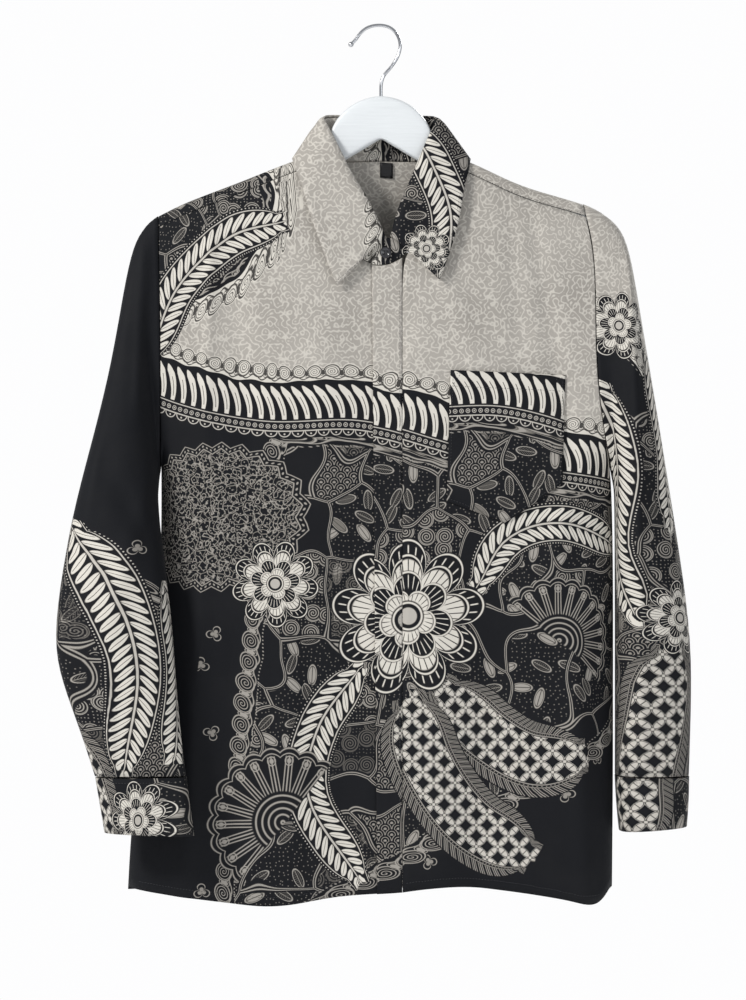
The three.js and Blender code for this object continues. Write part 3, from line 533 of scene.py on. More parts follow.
def along(line, places):
    """How far along a line each place lies, and how far to its left, in the line's own units."""
    starts, steps = line[:-1], np.diff(line, axis=0)
    lengths = np.hypot(*steps.T)
    passed = np.concatenate([[0], np.cumsum(lengths)[:-1]])
    best = np.full(len(places), np.inf)
    s = np.zeros(len(places))
    t = np.zeros(len(places))
    for start, step, length, before in zip(starts, steps, lengths, passed, strict=True):
        unit = step / length
        off = places - start
        ahead = np.clip(off @ unit, 0, length)
        away = np.hypot(*(off - ahead[:, None] * unit).T)
        nearer = away < best
        best = np.where(nearer, away, best)
        s = np.where(nearer, before + ahead, s)
        t = np.where(nearer, np.sign(unit[0] * off[:, 1] - unit[1] * off[:, 0]) * away, t)
    return s, t, passed[-1] + lengths[-1]


def banded(points, places, fade=46.0, scale=1.0):
    """Print coordinates of a band along a line: along it, across it, and its width there, from 0 at both ends to scale."""
    s, t, total = along(curve_through(points), places)
    ends = np.clip(np.minimum(s, total - s) / fade, 0, 1)
    return np.column_stack([s, t, np.sqrt(ends * (2 - ends)) * scale])


def petalled(x, z, radius, lean, places):
    """Print coordinates of a flower: across and up from its heart, in radii."""
    off = (places - (x, z)) / radius
    c, s = math.cos(lean), math.sin(lean)
    return np.column_stack([off[:, 0] * c + off[:, 1] * s, off[:, 1] * c - off[:, 0] * s, np.zeros(len(off))])


def oval(x, z, half_x, half_z, lean, places):
    """Roughly how far inside an oval each place lies."""
    c, s = math.cos(lean), math.sin(lean)
    off = places - (x, z)
    a = (off[:, 0] * c + off[:, 1] * s) / half_x
    b = (off[:, 1] * c - off[:, 0] * s) / half_z
    return (1 - np.hypot(a, b)) * min(half_x, half_z)


LAYOUTS = {
    "trunk": {
        "plume": [(-330, -318), (-225, -368), (-120, -392), (-20, -392), (60, -412), (135, -436), (250, -452)],
        "spray_a": [(-232, -330), (-205, -262), (-150, -212), (-95, -196)],
        "spray_b": [(96, -560), (126, -512), (180, -496), (262, -520)],
        "spray_c": [(-20, -640), (-62, -700), (-70, -770), (-20, -850)],
        "wing_a": [(62, -660), (104, -704), (150, -730), (200, -726)],
        "wing_b": [(30, -670), (46, -732), (88, -792), (150, -828)],
        "bloom_a": (28, -588, 78, 0.0),
        "bloom_b": (-104, -556, 44, 0.4),
        "fan_a": (-96, -792, 74, 0.9),
        "fan_b": (176, -612, 62, -0.7),
        "cloud": (-166, -490, 90, 68, 0.1),
    },
}
BANDS = ("spray_a", "spray_b", "spray_c", "wing_a", "wing_b")
WIDTHS = {"spray_a": 1.0, "spray_b": 0.9, "spray_c": 1.0, "wing_a": 1.05, "wing_b": 1.05}


def print_on(mesh, layout, places):
    """Writes the print's coordinates at each corner of a mesh."""
    plan = LAYOUTS[layout]

    def write(name, values):
        made = mesh.attributes.new(name, "FLOAT_VECTOR", "CORNER")
        made.data.foreach_set("vector", np.asarray(values, np.float32).ravel())

    write("cloth", np.column_stack([places, np.zeros(len(places))]))
    s, t, _ = along(curve_through(plan["plume"]), places) if "plume" in plan else (0, FAR, 0)
    write("plume", np.column_stack([np.full(len(places), 1.0) * s, np.full(len(places), 1.0) * t, np.zeros(len(places))]))
    for name in BANDS:
        if name in plan:
            write(name, banded(plan[name], places, scale=WIDTHS[name]))
        else:
            write(name, np.tile((0, FAR, 0), (len(places), 1)))
    for name in ("bloom_a", "bloom_b", "fan_a", "fan_b"):
        write(name, petalled(*plan[name], places) if name in plan else np.tile((FAR, FAR, 0), (len(places), 1)))
    x, z = places.T
    cloud, around = np.full(len(places), -FAR), x
    if "cloud" in plan:
        cloud = oval(*plan["cloud"], places)
        around = np.arctan2(z - plan["cloud"][1], x - plan["cloud"][0]) * 72
    write("grounds", np.column_stack([plan["grey"](places, t), plan["lush"](places, t), cloud]))
    write("borders", np.column_stack([s if "plume" in plan else x - z, (0.35 * x + 0.9 * z), around]))


def trunk_grey(places, t):
    patch = oval(-205, -205, 108, 74, 0.5, places)
    return np.minimum(np.minimum(t - 37.0, 400.0), -patch)


def trunk_lush(places, t):
    x, z = places.T
    slope = x * 0.98 - z * 0.11 + 52.0
    corner = z * 0.9 - x * 0.5 + 752.0
    patch = oval(-205, -205, 104, 70, 0.5, places)
    return np.maximum(np.minimum(np.minimum(np.minimum(slope, corner), -t - 22.0), 60.0), patch)


LAYOUTS["trunk"]["grey"] = trunk_grey
LAYOUTS["trunk"]["lush"] = trunk_lush


def shell(node, name, levels=2):
    """A CAD node's own walls with their facets rounded. Its edges stay where they are."""
    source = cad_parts[node]
    form = bmesh.new()
    form.from_mesh(source.data)
    form.transform(source.matrix_world)
    bmesh.ops.remove_doubles(form, verts=form.verts, dist=2e-6)
    bmesh.ops.join_triangles(
        form,
        faces=form.faces,
        angle_face_threshold=math.radians(24),
        angle_shape_threshold=math.radians(80),
    )
    crease = form.edges.layers.float.new("crease_edge")
    for edge in form.edges:
        if not edge.is_manifold or edge.calc_face_angle() > math.radians(48):
            edge[crease] = 1.0
    mesh = bpy.data.meshes.new(name)
    form.to_mesh(mesh)
    form.free()
    rough = bpy.data.objects.new(name + "_rough", mesh)
    bpy.context.scene.collection.objects.link(rough)
    rounding = rough.modifiers.new("rounding", "SUBSURF")
    rounding.levels = rounding.render_levels = levels
    now = bpy.context.evaluated_depsgraph_get()
    smooth = bpy.data.meshes.new_from_object(rough.evaluated_get(now))
    bpy.data.objects.remove(rough)
    smooth.name = name
    for polygon in smooth.polygons:
        polygon.use_smooth = True
    smooth.set_sharp_from_angle(angle=math.radians(50))
    piece = bpy.data.objects.new(name, smooth)
    bpy.context.scene.collection.objects.link(piece)
    return piece


def points_of(mesh):
    found = np.empty(len(mesh.vertices) * 3, np.float32)
    mesh.vertices.foreach_get("co", found)
    return found.reshape(-1, 3).astype(float) / MM


def at_corners(mesh, values):
    corners = np.empty(len(mesh.loops), np.int32)
    mesh.loops.foreach_get("vertex_index", corners)
    return values[corners]


CREASES = [
    {"x0": -168, "z0": -200, "x1": -172, "z1": -400, "wide": 5, "rise": 2.7},
    {"x0": -150, "z0": -230, "x1": -120, "z1": -520, "wide": 14, "rise": -2.9},
    {"x0": -178, "z0": -560, "x1": -196, "z1": -870, "wide": 12, "rise": 4.7},
    {"x0": -140, "z0": -600, "x1": -150, "z1": -870, "wide": 14, "rise": -4.3},
    {"x0": -92, "z0": -560, "x1": -84, "z1": -870, "wide": 13, "rise": 4.0},
    {"x0": 32, "z0": -262, "x1": 26, "z1": -330, "wide": 5, "rise": -2.5},
    {"x0": 60, "z0": -240, "x1": 100, "z1": -340, "wide": 12, "rise": 2.7},
    {"x0": 150, "z0": -190, "x1": 196, "z1": -460, "wide": 9, "rise": -3.1},
    {"x0": 200, "z0": -420, "x1": 150, "z1": -620, "wide": 13, "rise": 3.2},
    {"x0": 190, "z0": -600, "x1": 206, "z1": -870, "wide": 12, "rise": 4.3},
    {"x0": 110, "z0": -620, "x1": 96, "z1": -870, "wide": 16, "rise": -4.0},
    {"x0": -235, "z0": -223, "x1": -239, "z1": -380, "wide": 6, "rise": 4.0},
    {"x0": -276, "z0": -430, "x1": -225, "z1": -520, "wide": 9, "rise": -4.0},
    {"x0": -268, "z0": -640, "x1": -262, "z1": -740, "wide": 5, "rise": 4.0},
    {"x0": -300, "z0": -560, "x1": -240, "z1": -640, "wide": 8, "rise": 3.2},
    {"x0": 247, "z0": -209, "x1": 254, "z1": -380, "wide": 5, "rise": 4.0},
    {"x0": 254, "z0": -380, "x1": 257, "z1": -560, "wide": 5, "rise": 3.6},
    {"x0": 257, "z0": -560, "x1": 260, "z1": -750, "wide": 6, "rise": 3.2},
    {"x0": 290, "z0": -430, "x1": 262, "z1": -520, "wide": 9, "rise": -3.2},
    {"x0": -262, "z0": -300, "x1": -292, "z1": -500, "wide": 9, "rise": 3.0},
    {"x0": -214, "z0": -420, "x1": -268, "z1": -600, "wide": 11, "rise": 3.4},
    {"x0": -308, "z0": -520, "x1": -232, "z1": -560, "wide": 10, "rise": -3.0},
    {"x0": -60, "z0": -300, "x1": -52, "z1": -470, "wide": 15, "rise": 2.2},
    {"x0": -30, "z0": -520, "x1": -36, "z1": -860, "wide": 16, "rise": -2.6},
    {"x0": 52, "z0": -520, "x1": 60, "z1": -870, "wide": 15, "rise": 2.6},
    {"x0": 130, "z0": -185, "x1": 140, "z1": -330, "wide": 9, "rise": -2.2},
]


def draped(piece):
    """Soft creases: points near each crease's line move forward, or back where rise is negative. A wall's two faces move alike."""
    mesh = piece.data
    places = points_of(mesh)
    flat = places[:, [0, 2]]
    move = np.zeros(len(flat))
    for row in CREASES:
        start = np.array((row["x0"], row["z0"]), float)
        end = np.array((row["x1"], row["z1"]), float)
        length = np.hypot(*(end - start))
        unit = (end - start) / length
        off = flat - start
        ahead = off @ unit / length
        across = off[:, 0] * unit[1] - off[:, 1] * unit[0]
        ends = np.clip(np.minimum(ahead, 1 - ahead) * 5 + 0.5, 0, 1)
        move += row["rise"] * np.exp(-((across / row["wide"]) ** 2)) * ends * ends * (3 - 2 * ends)
    front = np.clip((2.0 - places[:, 1]) / 14.0, 0, 1)
    places[:, 1] -= move * front
    mesh.vertices.foreach_set("co", (places * MM).astype(np.float32).ravel())
    mesh.update()


def trunk_places(places, shift=(0.0, 0.0)):
    """Print coordinates on the trunk: across and up, with the roll at the sides laid flat."""
    x, y, z = places.T
    roll = np.clip((np.abs(x) - 150) / 70, 0, 1)
    return np.column_stack([x + np.sign(x) * (y + 26) * roll + shift[0], z + shift[1]])


def yoke_places(places, shift):
    """The yoke's print runs up the front, over the shoulder and on, so that none of it is stretched on top."""
    x, y, z = places.T
    return np.column_stack([x + shift[0], np.where(y < 0, z, -z - 190) + y * 0.7 + shift[1]])


def back_places(places, shift):
    x, y, z = places.T
    roll = np.clip((np.abs(x) - 150) / 70, 0, 1)
    return np.column_stack([shift[0] - x - np.sign(x) * (26 - y) * roll, z + shift[1]])


def sewn(node, name, layout="trunk", flatten=trunk_places, shift=(0.0, 0.0)):
    """A finished cloth piece for one node: rounded, creased, printed and riding."""
    piece = shell(node, name)
    draped(piece)
    mesh = piece.data
    mesh.materials.clear()
    mesh.materials.append(COTTON)
    print_on(mesh, layout, flatten(at_corners(mesh, points_of(mesh)), shift))
    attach(piece, "root")
    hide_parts(node)
    return piece


# ---- Fronts ----
# The two cotton front panels hang from the yoke and meet under the placket. The wearer's left one laps over
# the right one, and both end at the side seams in a turned hem.

STITCH = {"length": 2.5, "gap": 0.9, "wide": 0.42, "proud": 0.24}

thread = bpy.data.materials.new("black_thread")
thread.use_nodes = True
twist = thread.node_tree.nodes.new("ShaderNodeTexWave")
twist.bands_direction = "DIAGONAL"
twist.inputs["Scale"].default_value = 900
place = thread.node_tree.nodes.new("ShaderNodeTexCoord")
tint = thread.node_tree.nodes.new("ShaderNodeValToRGB")
tint.color_ramp.elements[0].color = (0.01, 0.01, 0.013, 1)
tint.color_ramp.elements[1].color = (0.05, 0.05, 0.055, 1)
thread.node_tree.links.new(place.outputs["Object"], twist.inputs["Vector"])
thread.node_tree.links.new(twist.outputs["Fac"], tint.inputs[0])
thread.node_tree.links.new(tint.outputs[0], thread.node_tree.nodes["Principled BSDF"].inputs["Base Color"])
thread.node_tree.nodes["Principled BSDF"].inputs["Roughness"].default_value = 0.5


def edge_of(piece, x, lowest, side=-1):
    """The lowest or highest z of a piece's front or back near x, in mm."""
    places = points_of(piece.data)
    near = places[np.abs(places[:, 0] - x) < 6.5]
    near = near[(near[:, 1] - near[:, 1].mean()) * side >= -1.0]
    return near[:, 2].min() if lowest else near[:, 2].max()


def laid(piece, path, side=-1, every=1.0):
    """Points on a piece's front, or its back, over an (x, z) path, each with the way that the cloth faces."""
    tree = BVHTree.FromObject(piece, bpy.context.evaluated_depsgraph_get())
    path = np.array(path, float)
    steps = np.hypot(*np.diff(path, axis=0).T)
    reach = np.concatenate([[0], np.cumsum(steps)])
    at = np.arange(0, reach[-1], every)
    found = []
    for x, z in zip(np.interp(at, reach, path[:, 0]), np.interp(at, reach, path[:, 1]), strict=True):
        spot, facing, _, _ = tree.ray_cast(Vector((x, side * 300, z)) * MM, Vector((0, -side, 0)))
        if spot is not None:
            found.append((spot, facing))
    return found


def stitches(name, rows):
    """Short raised stitches along rows of points on cloth, as one piece."""
    form = bmesh.new()
    run = STITCH["length"] + STITCH["gap"]
    for points in rows:
        for i in range(0, len(points) - 3, max(1, round(run))):
            (a, up), (b, _) = points[i], points[min(i + round(STITCH["length"]), len(points) - 1)]
            ahead = b - a
            if not 0.5 * MM < ahead.length < 6 * MM:
                continue
            wide = ahead.cross(up).normalized() * STITCH["wide"] * MM / 2
            lift = up * STITCH["proud"] * MM
            middle = (a + b) / 2
            low = [a - wide * 0.4, a + wide * 0.4, middle + wide, b + wide * 0.4, b - wide * 0.4, middle - wide]
            top = [a + lift * 0.3, b + lift * 0.3, middle + lift + wide * 0.5, middle + lift - wide * 0.5]
            v = [form.verts.new(c) for c in low + top]
            for face in ((0, 6, 9, 5), (0, 1, 6), (1, 2, 8, 6), (2, 3, 7, 8), (3, 4, 7), (4, 5, 9, 7), (6, 8, 9), (9, 8, 7)):
                form.faces.new([v[k] for k in face])
    mesh = bpy.data.meshes.new(name)
    form.to_mesh(mesh)
    form.free()
    mesh.materials.append(thread)
    piece = bpy.data.objects.new(name, mesh)
    bpy.context.scene.collection.objects.link(piece)
    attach(piece, "root")
    return piece


right_front = sewn("right_front", "front_right_panel")
left_front = sewn("left_front", "front_left_panel")
HEM_DEPTH = 9.0


def hem_row(piece, start, stop, side=-1):
    across = np.arange(start, stop, 5.0)
    return laid(piece, [(x, edge_of(piece, x, True, side) + HEM_DEPTH) for x in across], side)


front_hems = stitches("front_hem_stitches", [hem_row(right_front, -240, -10), hem_row(left_front, 26, 222)])

# ---- Placket ----
# A folded cotton strip along the left front's edge hides the buttonholes. One row of stitches holds it.

placket = sewn("left_placket", "front_placket", shift=(1.5, 4.0))
placket_row = stitches("placket_stitches", [laid(placket, [(19.6, -262), (19.6, -850)])])

# ---- Chest pocket ----
# A patch of the same cotton with a mitred foot is sewn flat on the wearer's left breast on three sides.

pocket = sewn("chest_pocket", "breast_pocket", shift=(-140.0, -14.0))
POCKET_MOUTH = [(72, -360), (182, -365)]
POCKET_EDGE = [(72.5, -347), (69, -472), (125, -493), (178.5, -455), (181.5, -352)]
POCKET_CORNERS = [[(72.5, -347), (80, -347.5), (72.4, -359)], [(181.5, -352), (174, -351), (181.6, -364)]]
pocket_rows = stitches("pocket_stitches", [laid(pocket, row) for row in (POCKET_MOUTH, POCKET_EDGE, *POCKET_CORNERS)])

# ---- Back and yoke ----
# The cotton back is one panel, cut straight across under the yoke. The yoke lies over the hanger and carries
# both fronts, the back and the collar.

LAYOUTS["back"] = {
    "plume": [(-330, -470), (-210, -400), (-90, -352), (30, -372), (120, -430), (190, -440), (330, -372)],
    "spray_a": [(-236, -560), (-190, -500), (-120, -480), (-60, -500)],
    "spray_b": [(60, -600), (120, -552), (176, -548), (250, -580)],
    "spray_c": [(60, -690), (96, -740), (92, -800), (50, -860)],
    "wing_a": [(-40, -660), (-100, -690), (-160, -740), (-246, -742)],
    "wing_b": [(-14, -690), (-44, -760), (-110, -810), (-190, -850)],
    "bloom_a": (0, -612, 84, 0.2),
    "bloom_b": (150, -640, 48, 0.0),
    "fan_a": (182, -800, 70, -0.8),
    "fan_b": (-150, -606, 62, 0.5),
    "cloud": (-60, -440, 80, 40, -0.1),
    "grey": lambda places, t: np.clip(t - 37.0, -400, 400),
    "lush": lambda places, t: np.minimum(np.minimum(300 - places[:, 0] * 0.9 - np.abs(places[:, 1] + 650), -t - 22.0), 60.0),
}
back = sewn("back", "back_panel", "back", back_places)
yoke = sewn("yoke", "shirt_yoke", flatten=yoke_places)
back_hem = stitches("back_hem_stitches", [hem_row(back, -240, 222, 1)])
yoke_rows = stitches(
    "yoke_stitches",
    [
        laid(yoke, [(x, edge_of(yoke, x, True) + 2.4) for x in np.arange(start, stop, 6.0)])
        for start, stop in ((-214, -74), (76, 204))
    ]
    + [laid(yoke, [(x, edge_of(yoke, x, True, 1) + 2.4) for x in np.arange(-214, 206, 6.0)], 1)],
)

# ---- Sleeves ----
# Each long sleeve is one cotton piece closed by a seam under the arm and set into the armhole. They hang
# empty, a little in front of the trunk on the wearer's right.


def sleeve_places(middle_top, middle_foot, centre_y, half_top, half_foot):
    def flatten(places, shift):
        x, y, z = places.T
        down = np.clip((-z - 200) / 600, 0, 1)
        middle = middle_top + (middle_foot - middle_top) * down
        half = half_top + (half_foot - half_top) * down
        turn = np.arctan2((x - middle) / half, -(y - centre_y(down)) / (half * 0.75))
        return np.column_stack([turn * half + shift[0], z + shift[1]])

    return flatten


def unwrapped(mesh, places):
    """Brings each face's corners to the same side of the seam where the print starts again."""
    starts = np.empty(len(mesh.polygons), np.int32)
    counts = np.empty(len(mesh.polygons), np.int32)
    mesh.polygons.foreach_get("loop_start", starts)
    mesh.polygons.foreach_get("loop_total", counts)
    face = np.repeat(np.arange(len(starts)), counts)
    highest = np.maximum.reduceat(places[:, 0], starts)[face]
    span = highest - np.minimum.reduceat(places[:, 0], starts)[face]
    places[:, 0] += np.where((span > 120) & (places[:, 0] < 0), highest - places[:, 0], 0)
    return places


LAYOUTS["right_arm"] = {
    "spray_a": [(-44, -500), (-12, -570), (2, -650), (-12, -740)],
    "spray_b": [(30, -560), (44, -640), (38, -730)],
    "wing_a": [(-90, -700), (-60, -740), (-40, -830)],
    "bloom_a": (14, -800, 40, 0.2),
    "grey": lambda places, t: np.full(len(places), -60.0),
    "lush": lambda places, t: np.minimum(-places[:, 1] - 560 - places[:, 0] * 0.8, 60.0),
}
LAYOUTS["left_arm"] = {
    "spray_a": [(-30, -360), (-18, -440), (-28, -520), (-6, -590)],
    "spray_b": [(26, -330), (38, -420), (30, -500)],
    "wing_a": [(20, -620), (6, -690), (-12, -760), (-10, -830)],
    "bloom_a": (30, -590, 38, 0.0),
    "bloom_b": (-8, -300, 34, 0.5),
    "grey": lambda places, t: np.minimum(places[:, 1] + 330 + places[:, 0] * 1.6, 60.0),
    "lush": lambda places, t: np.minimum(-places[:, 1] - 330 - places[:, 0] * 1.6, 60.0),
}
right_arm = sleeve_places(-236, -240, lambda down: -2 - 50 * down**1.5, 44, 42)
left_arm = sleeve_places(238, 276, lambda down: 2 + 5 * down, 40, 36)


def sleeve(node, name, layout, flatten, shift=(0.0, 0.0)):
    piece = shell(node, name)
    draped(piece)
    mesh = piece.data
    mesh.materials.clear()
    mesh.materials.append(COTTON)
    print_on(mesh, layout, unwrapped(mesh, flatten(at_corners(mesh, points_of(mesh)), shift)))
    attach(piece, "root")
    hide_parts(node)
    return piece


right_sleeve = sleeve("right_sleeve", "sleeve_right", "right_arm", right_arm)
left_sleeve = sleeve("left_sleeve", "sleeve_left", "left_arm", left_arm)

# ---- Cuffs ----
# Interlined bands of the same cotton close the sleeves, each lapped and fastened by one button behind.

right_cuff = sleeve("right_cuff", "cuff_right", "right_arm", right_arm, (9.0, -14.0))
left_cuff = sleeve("left_cuff", "cuff_left", "left_arm", left_arm, (9.0, -14.0))
CUFF_INSET = 4.5


def cuff_rows(piece, start, stop):
    """Rows round a cuff's top and bottom, on its front and its back."""
    rows = []
    for side in (-1, 1):
        across = np.arange(start, stop, 4.0)
        for lowest, inset in ((True, CUFF_INSET), (False, -CUFF_INSET)):
            rows.append(laid(piece, [(x, edge_of(piece, x, lowest, side) + inset) for x in across], side))
    return rows


right_cuff_rows = stitches("cuff_right_stitches", cuff_rows(right_cuff, -262, -196))
left_cuff_rows = stitches("cuff_left_stitches", cuff_rows(left_cuff, 250, 300))

# ---- Collar ----
# A stiff cotton band stands round the neck, closed by its own button, and a pointed leaf folds down over it.

LAYOUTS["collar"] = {
    "spray_a": [(30, -100), (52, -140), (70, -190), (66, -250)],
    "bloom_a": (46, -224, 25, 0.3),
    "grey": lambda places, t: np.clip(-places[:, 0] + 2, -60, 60),
    "lush": lambda places, t: np.clip(places[:, 0] - 4, -60, 60),
}
collar_stand = sewn("collar_stand", "collar_band", "collar")
collar_leaf = sewn("collar_leaf", "collar_fall", "collar")
LEAF_EDGES = [
    [(-47, -256), (-58, -229), (-71, -190), (-78, -160)],
    [(-44, -257), (-28, -243), (-2, -222)],
    [(59, -251), (66, -228), (75, -194), (80, -165)],
    [(55, -252), (40, -240), (16, -220)],
]
leaf_rows = stitches("collar_stitches", [laid(collar_leaf, row) for row in LEAF_EDGES])

# ---- Neck label ----
# A short piece of black damask tape, bare, is sewn inside the neck by its two ends.

tape = bpy.data.materials.new("damask_tape")
tape.use_nodes = True
tape_nodes, tape_links = tape.node_tree.nodes, tape.node_tree.links
tape_place = tape_nodes.new("ShaderNodeTexCoord")
floats = tape_nodes.new("ShaderNodeTexBrick")
floats.inputs["Scale"].default_value = 1400
floats.inputs["Color1"].default_value = (0.012, 0.012, 0.014, 1)
floats.inputs["Color2"].default_value = (0.02, 0.02, 0.023, 1)
floats.inputs["Mortar"].default_value = (0.004, 0.004, 0.005, 1)
turned = tape_nodes.new("ShaderNodeMapping")
turned.inputs["Rotation"].default_value = (math.radians(90), 0, 0)
tape_bump = tape_nodes.new("ShaderNodeBump")
tape_bump.inputs["Distance"].default_value = 0.0004
tape_links.new(tape_place.outputs["Object"], turned.inputs[0])
tape_links.new(turned.outputs[0], floats.inputs["Vector"])
tape_links.new(floats.outputs["Fac"], tape_bump.inputs["Height"])
tape_links.new(floats.outputs["Color"], tape_nodes["Principled BSDF"].inputs["Base Color"])
tape_links.new(tape_bump.outputs[0], tape_nodes["Principled BSDF"].inputs["Normal"])
tape_nodes["Principled BSDF"].inputs["Roughness"].default_value = 0.42

label = shell("neck_label", "label_tape")
label.data.materials.clear()
label.data.materials.append(tape)
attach(label, "root")
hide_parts("neck_label")

# ---- Buttons ----
# Black polyester-resin buttons with a turned rim and four holes: one closes the collar band, and one closes
# each cuff behind. Each is sewn on with black thread in two bars.

resin = bpy.data.materials.new("black_resin")
resin.use_nodes = True
resin_nodes, resin_links = resin.node_tree.nodes, resin.node_tree.links
swirl = resin_nodes.new("ShaderNodeTexNoise")
swirl.inputs["Scale"].default_value = 420
swirl.inputs["Distortion"].default_value = 1.2
swirl_tint = resin_nodes.new("ShaderNodeValToRGB")
swirl_tint.color_ramp.elements[0].color = (0.008, 0.008, 0.01, 1)
swirl_tint.color_ramp.elements[1].color = (0.04, 0.04, 0.046, 1)
resin_place = resin_nodes.new("ShaderNodeTexCoord")
resin_links.new(resin_place.outputs["Object"], swirl.inputs["Vector"])
resin_links.new(swirl.outputs["Fac"], swirl_tint.inputs[0])
resin_links.new(swirl_tint.outputs[0], resin_nodes["Principled BSDF"].inputs["Base Color"])
resin_nodes["Principled BSDF"].inputs["Roughness"].default_value = 0.22
resin_nodes["Principled BSDF"].inputs["Coat Weight"].default_value = 0.4

BUTTON_PROFILE = [(0, 0.35), (2.7, 0.4), (3.4, 0.75), (4.3, 1.2), (5.1, 1.15), (5.6, 0.6), (5.7, 0), (5.3, -0.7), (4.4, -1.15), (0, -1.2)]
HOLE = {"radius": 0.72, "spread": 1.5}


def turned_button(node, name, side):
    """A turned disc with four holes, where the node's own button is, facing forward or back."""
    low, high = (Vector(corner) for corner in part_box(node))
    form = bmesh.new()
    around = 48
    rings = []
    for radius, height in BUTTON_PROFILE:
        if radius == 0:
            rings.append([form.verts.new((0, 0, height))])
        else:
            turns = (i * 2 * math.pi / around for i in range(around))
            rings.append([form.verts.new((radius * math.cos(a), radius * math.sin(a), height)) for a in turns])
    for upper, lower in zip(rings, rings[1:], strict=False):
        for i in range(around):
            j = (i + 1) % around
            corners = [upper[i % len(upper)], lower[i % len(lower)], lower[j % len(lower)], upper[j % len(upper)]]
            form.faces.new(list(dict.fromkeys(corners)))
    bmesh.ops.recalc_face_normals(form, faces=form.faces)
    mesh = bpy.data.meshes.new(name)
    form.to_mesh(mesh)
    form.free()
    cut = bmesh.new()
    for across, up in ((1, 1), (1, -1), (-1, 1), (-1, -1)):
        made = bmesh.ops.create_cone(
            cut, cap_ends=True, segments=20, radius1=HOLE["radius"], radius2=HOLE["radius"], depth=6
        )
        bmesh.ops.translate(cut, verts=made["verts"], vec=(across * HOLE["spread"], up * HOLE["spread"], 0))
    cut_mesh = bpy.data.meshes.new(name + "_holes")
    cut.to_mesh(cut_mesh)
    cut.free()
    cutter = bpy.data.objects.new(name + "_holes", cut_mesh)
    whole = bpy.data.objects.new(name + "_whole", mesh)
    for made in (cutter, whole):
        bpy.context.scene.collection.objects.link(made)
    drill = whole.modifiers.new("drill", "BOOLEAN")
    drill.operation = "DIFFERENCE"
    drill.object = cutter
    done = bpy.data.meshes.new_from_object(whole.evaluated_get(bpy.context.evaluated_depsgraph_get()))
    bpy.data.objects.remove(whole)
    bpy.data.objects.remove(cutter)
    sewn_on = bmesh.new()
    sewn_on.from_mesh(done)
    for up in (1, -1):
        for strand in (-0.26, 0.0, 0.26):
            bar = bmesh.ops.create_cone(
                sewn_on, cap_ends=True, segments=8, radius1=0.15, radius2=0.15, depth=HOLE["spread"] * 2
            )
            bmesh.ops.rotate(
                sewn_on, verts=bar["verts"], matrix=Vector((0, 0, 1)).rotation_difference(Vector((1, 0, 0))).to_matrix()
            )
            bmesh.ops.translate(sewn_on, verts=bar["verts"], vec=(0, up * HOLE["spread"] + strand, 0.55))
    for vertex in sewn_on.verts:
        x, y, z = vertex.co * MM
        vertex.co = (low + high) / 2 + Vector((x, z * side, y))
    bmesh.ops.recalc_face_normals(sewn_on, faces=sewn_on.faces)
    sewn_on.to_mesh(done)
    sewn_on.free()
    for polygon in done.polygons:
        polygon.use_smooth = True
    done.set_sharp_from_angle(angle=math.radians(40))
    done.materials.clear()
    done.materials.append(resin)
    piece = bpy.data.objects.new(name, done)
    bpy.context.scene.collection.objects.link(piece)
    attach(piece, "root")
    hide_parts(node)


turned_button("collar_button", "button_collar", -1)
turned_button("right_cuff_button", "button_cuff_right", 1)
turned_button("left_cuff_button", "button_cuff_left", 1)

# ---- Hanger ----
# A plain beech hanger, sawn and rounded over, painted satin white. The hook is plated steel wire, screwed
# into the top of the board.

paint = bpy.data.materials.new("white_paint")
paint.use_nodes = True
paint_nodes, paint_links = paint.node_tree.nodes, paint.node_tree.links
paint_place = paint_nodes.new("ShaderNodeTexCoord")
stretched = paint_nodes.new("ShaderNodeMapping")
stretched.inputs["Scale"].default_value = (12, 90, 160)
grain = paint_nodes.new("ShaderNodeTexNoise")
grain.inputs["Scale"].default_value = 3.0
grain.inputs["Detail"].default_value = 5.0
paint_tint = paint_nodes.new("ShaderNodeValToRGB")
paint_tint.color_ramp.elements[0].color = (0.70, 0.73, 0.75, 1)
paint_tint.color_ramp.elements[1].color = (0.80, 0.83, 0.85, 1)
paint_bump = paint_nodes.new("ShaderNodeBump")
paint_bump.inputs["Strength"].default_value = 0.25
paint_bump.inputs["Distance"].default_value = 0.0008
shine = paint_nodes.new("ShaderNodeMapRange")
shine.inputs["To Min"].default_value = 0.3
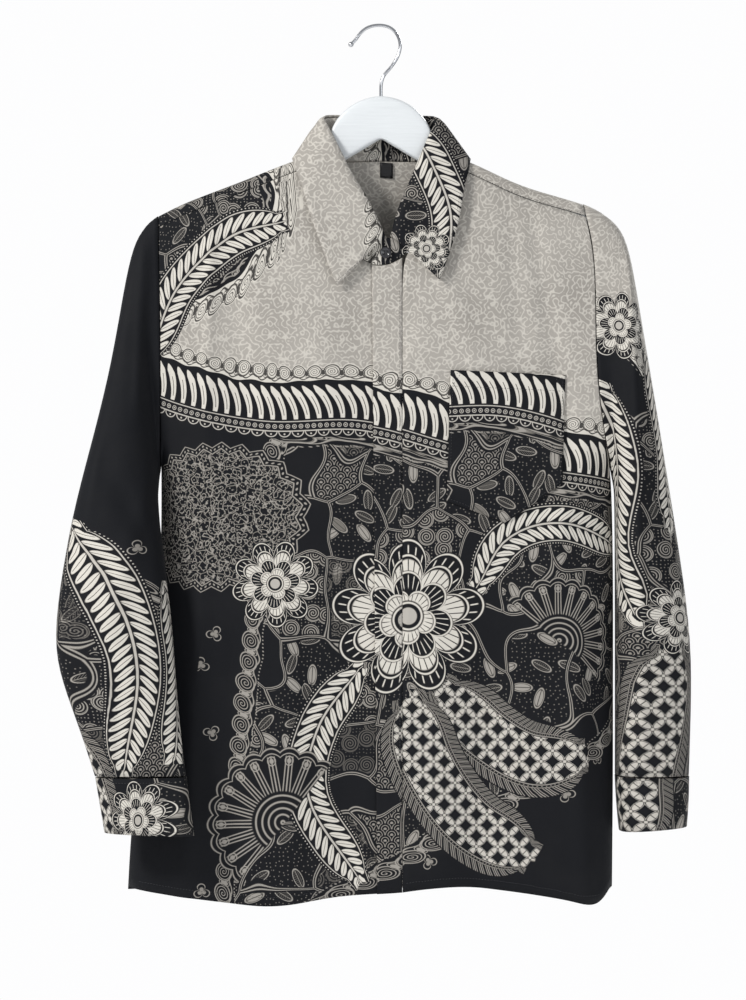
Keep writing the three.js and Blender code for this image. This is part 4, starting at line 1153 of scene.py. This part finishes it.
shine.inputs["To Max"].default_value = 0.44
paint_links.new(paint_place.outputs["Object"], stretched.inputs[0])
paint_links.new(stretched.outputs[0], grain.inputs["Vector"])
paint_links.new(grain.outputs["Fac"], paint_tint.inputs[0])
paint_links.new(grain.outputs["Fac"], paint_bump.inputs["Height"])
paint_links.new(grain.outputs["Fac"], shine.inputs["Value"])
paint_links.new(paint_tint.outputs[0], paint_nodes["Principled BSDF"].inputs["Base Color"])
paint_links.new(paint_bump.outputs[0], paint_nodes["Principled BSDF"].inputs["Normal"])
paint_links.new(shine.outputs[0], paint_nodes["Principled BSDF"].inputs["Roughness"])

plating = bpy.data.materials.new("bright_plating")
plating.use_nodes = True
plate_nodes, plate_links = plating.node_tree.nodes, plating.node_tree.links
plate_place = plate_nodes.new("ShaderNodeTexCoord")
worn = plate_nodes.new("ShaderNodeTexNoise")
worn.inputs["Scale"].default_value = 160
worn.inputs["Detail"].default_value = 4.0
dulled = plate_nodes.new("ShaderNodeMapRange")
dulled.inputs["To Min"].default_value = 0.08
dulled.inputs["To Max"].default_value = 0.24
plate_tint = plate_nodes.new("ShaderNodeValToRGB")
plate_tint.color_ramp.elements[0].color = (0.5, 0.51, 0.53, 1)
plate_tint.color_ramp.elements[1].color = (0.66, 0.67, 0.7, 1)
plate_links.new(plate_place.outputs["Object"], worn.inputs["Vector"])
plate_links.new(worn.outputs["Fac"], dulled.inputs["Value"])
plate_links.new(worn.outputs["Fac"], plate_tint.inputs[0])
plate_links.new(dulled.outputs[0], plate_nodes["Principled BSDF"].inputs["Roughness"])
plate_links.new(plate_tint.outputs[0], plate_nodes["Principled BSDF"].inputs["Base Color"])
plate_nodes["Principled BSDF"].inputs["Metallic"].default_value = 1.0

for node, name, finish, slot in (
    ("hanger_board", "hanger_wood", paint, "painted_wood"),
    ("hanger_hook", "hanger_wire_hook", plating, "hook_chrome"),
):
    piece = shell(node, name)
    piece.data.materials.clear()
    piece.data.materials.append(finish)
    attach(piece, "root")
    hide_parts(node)
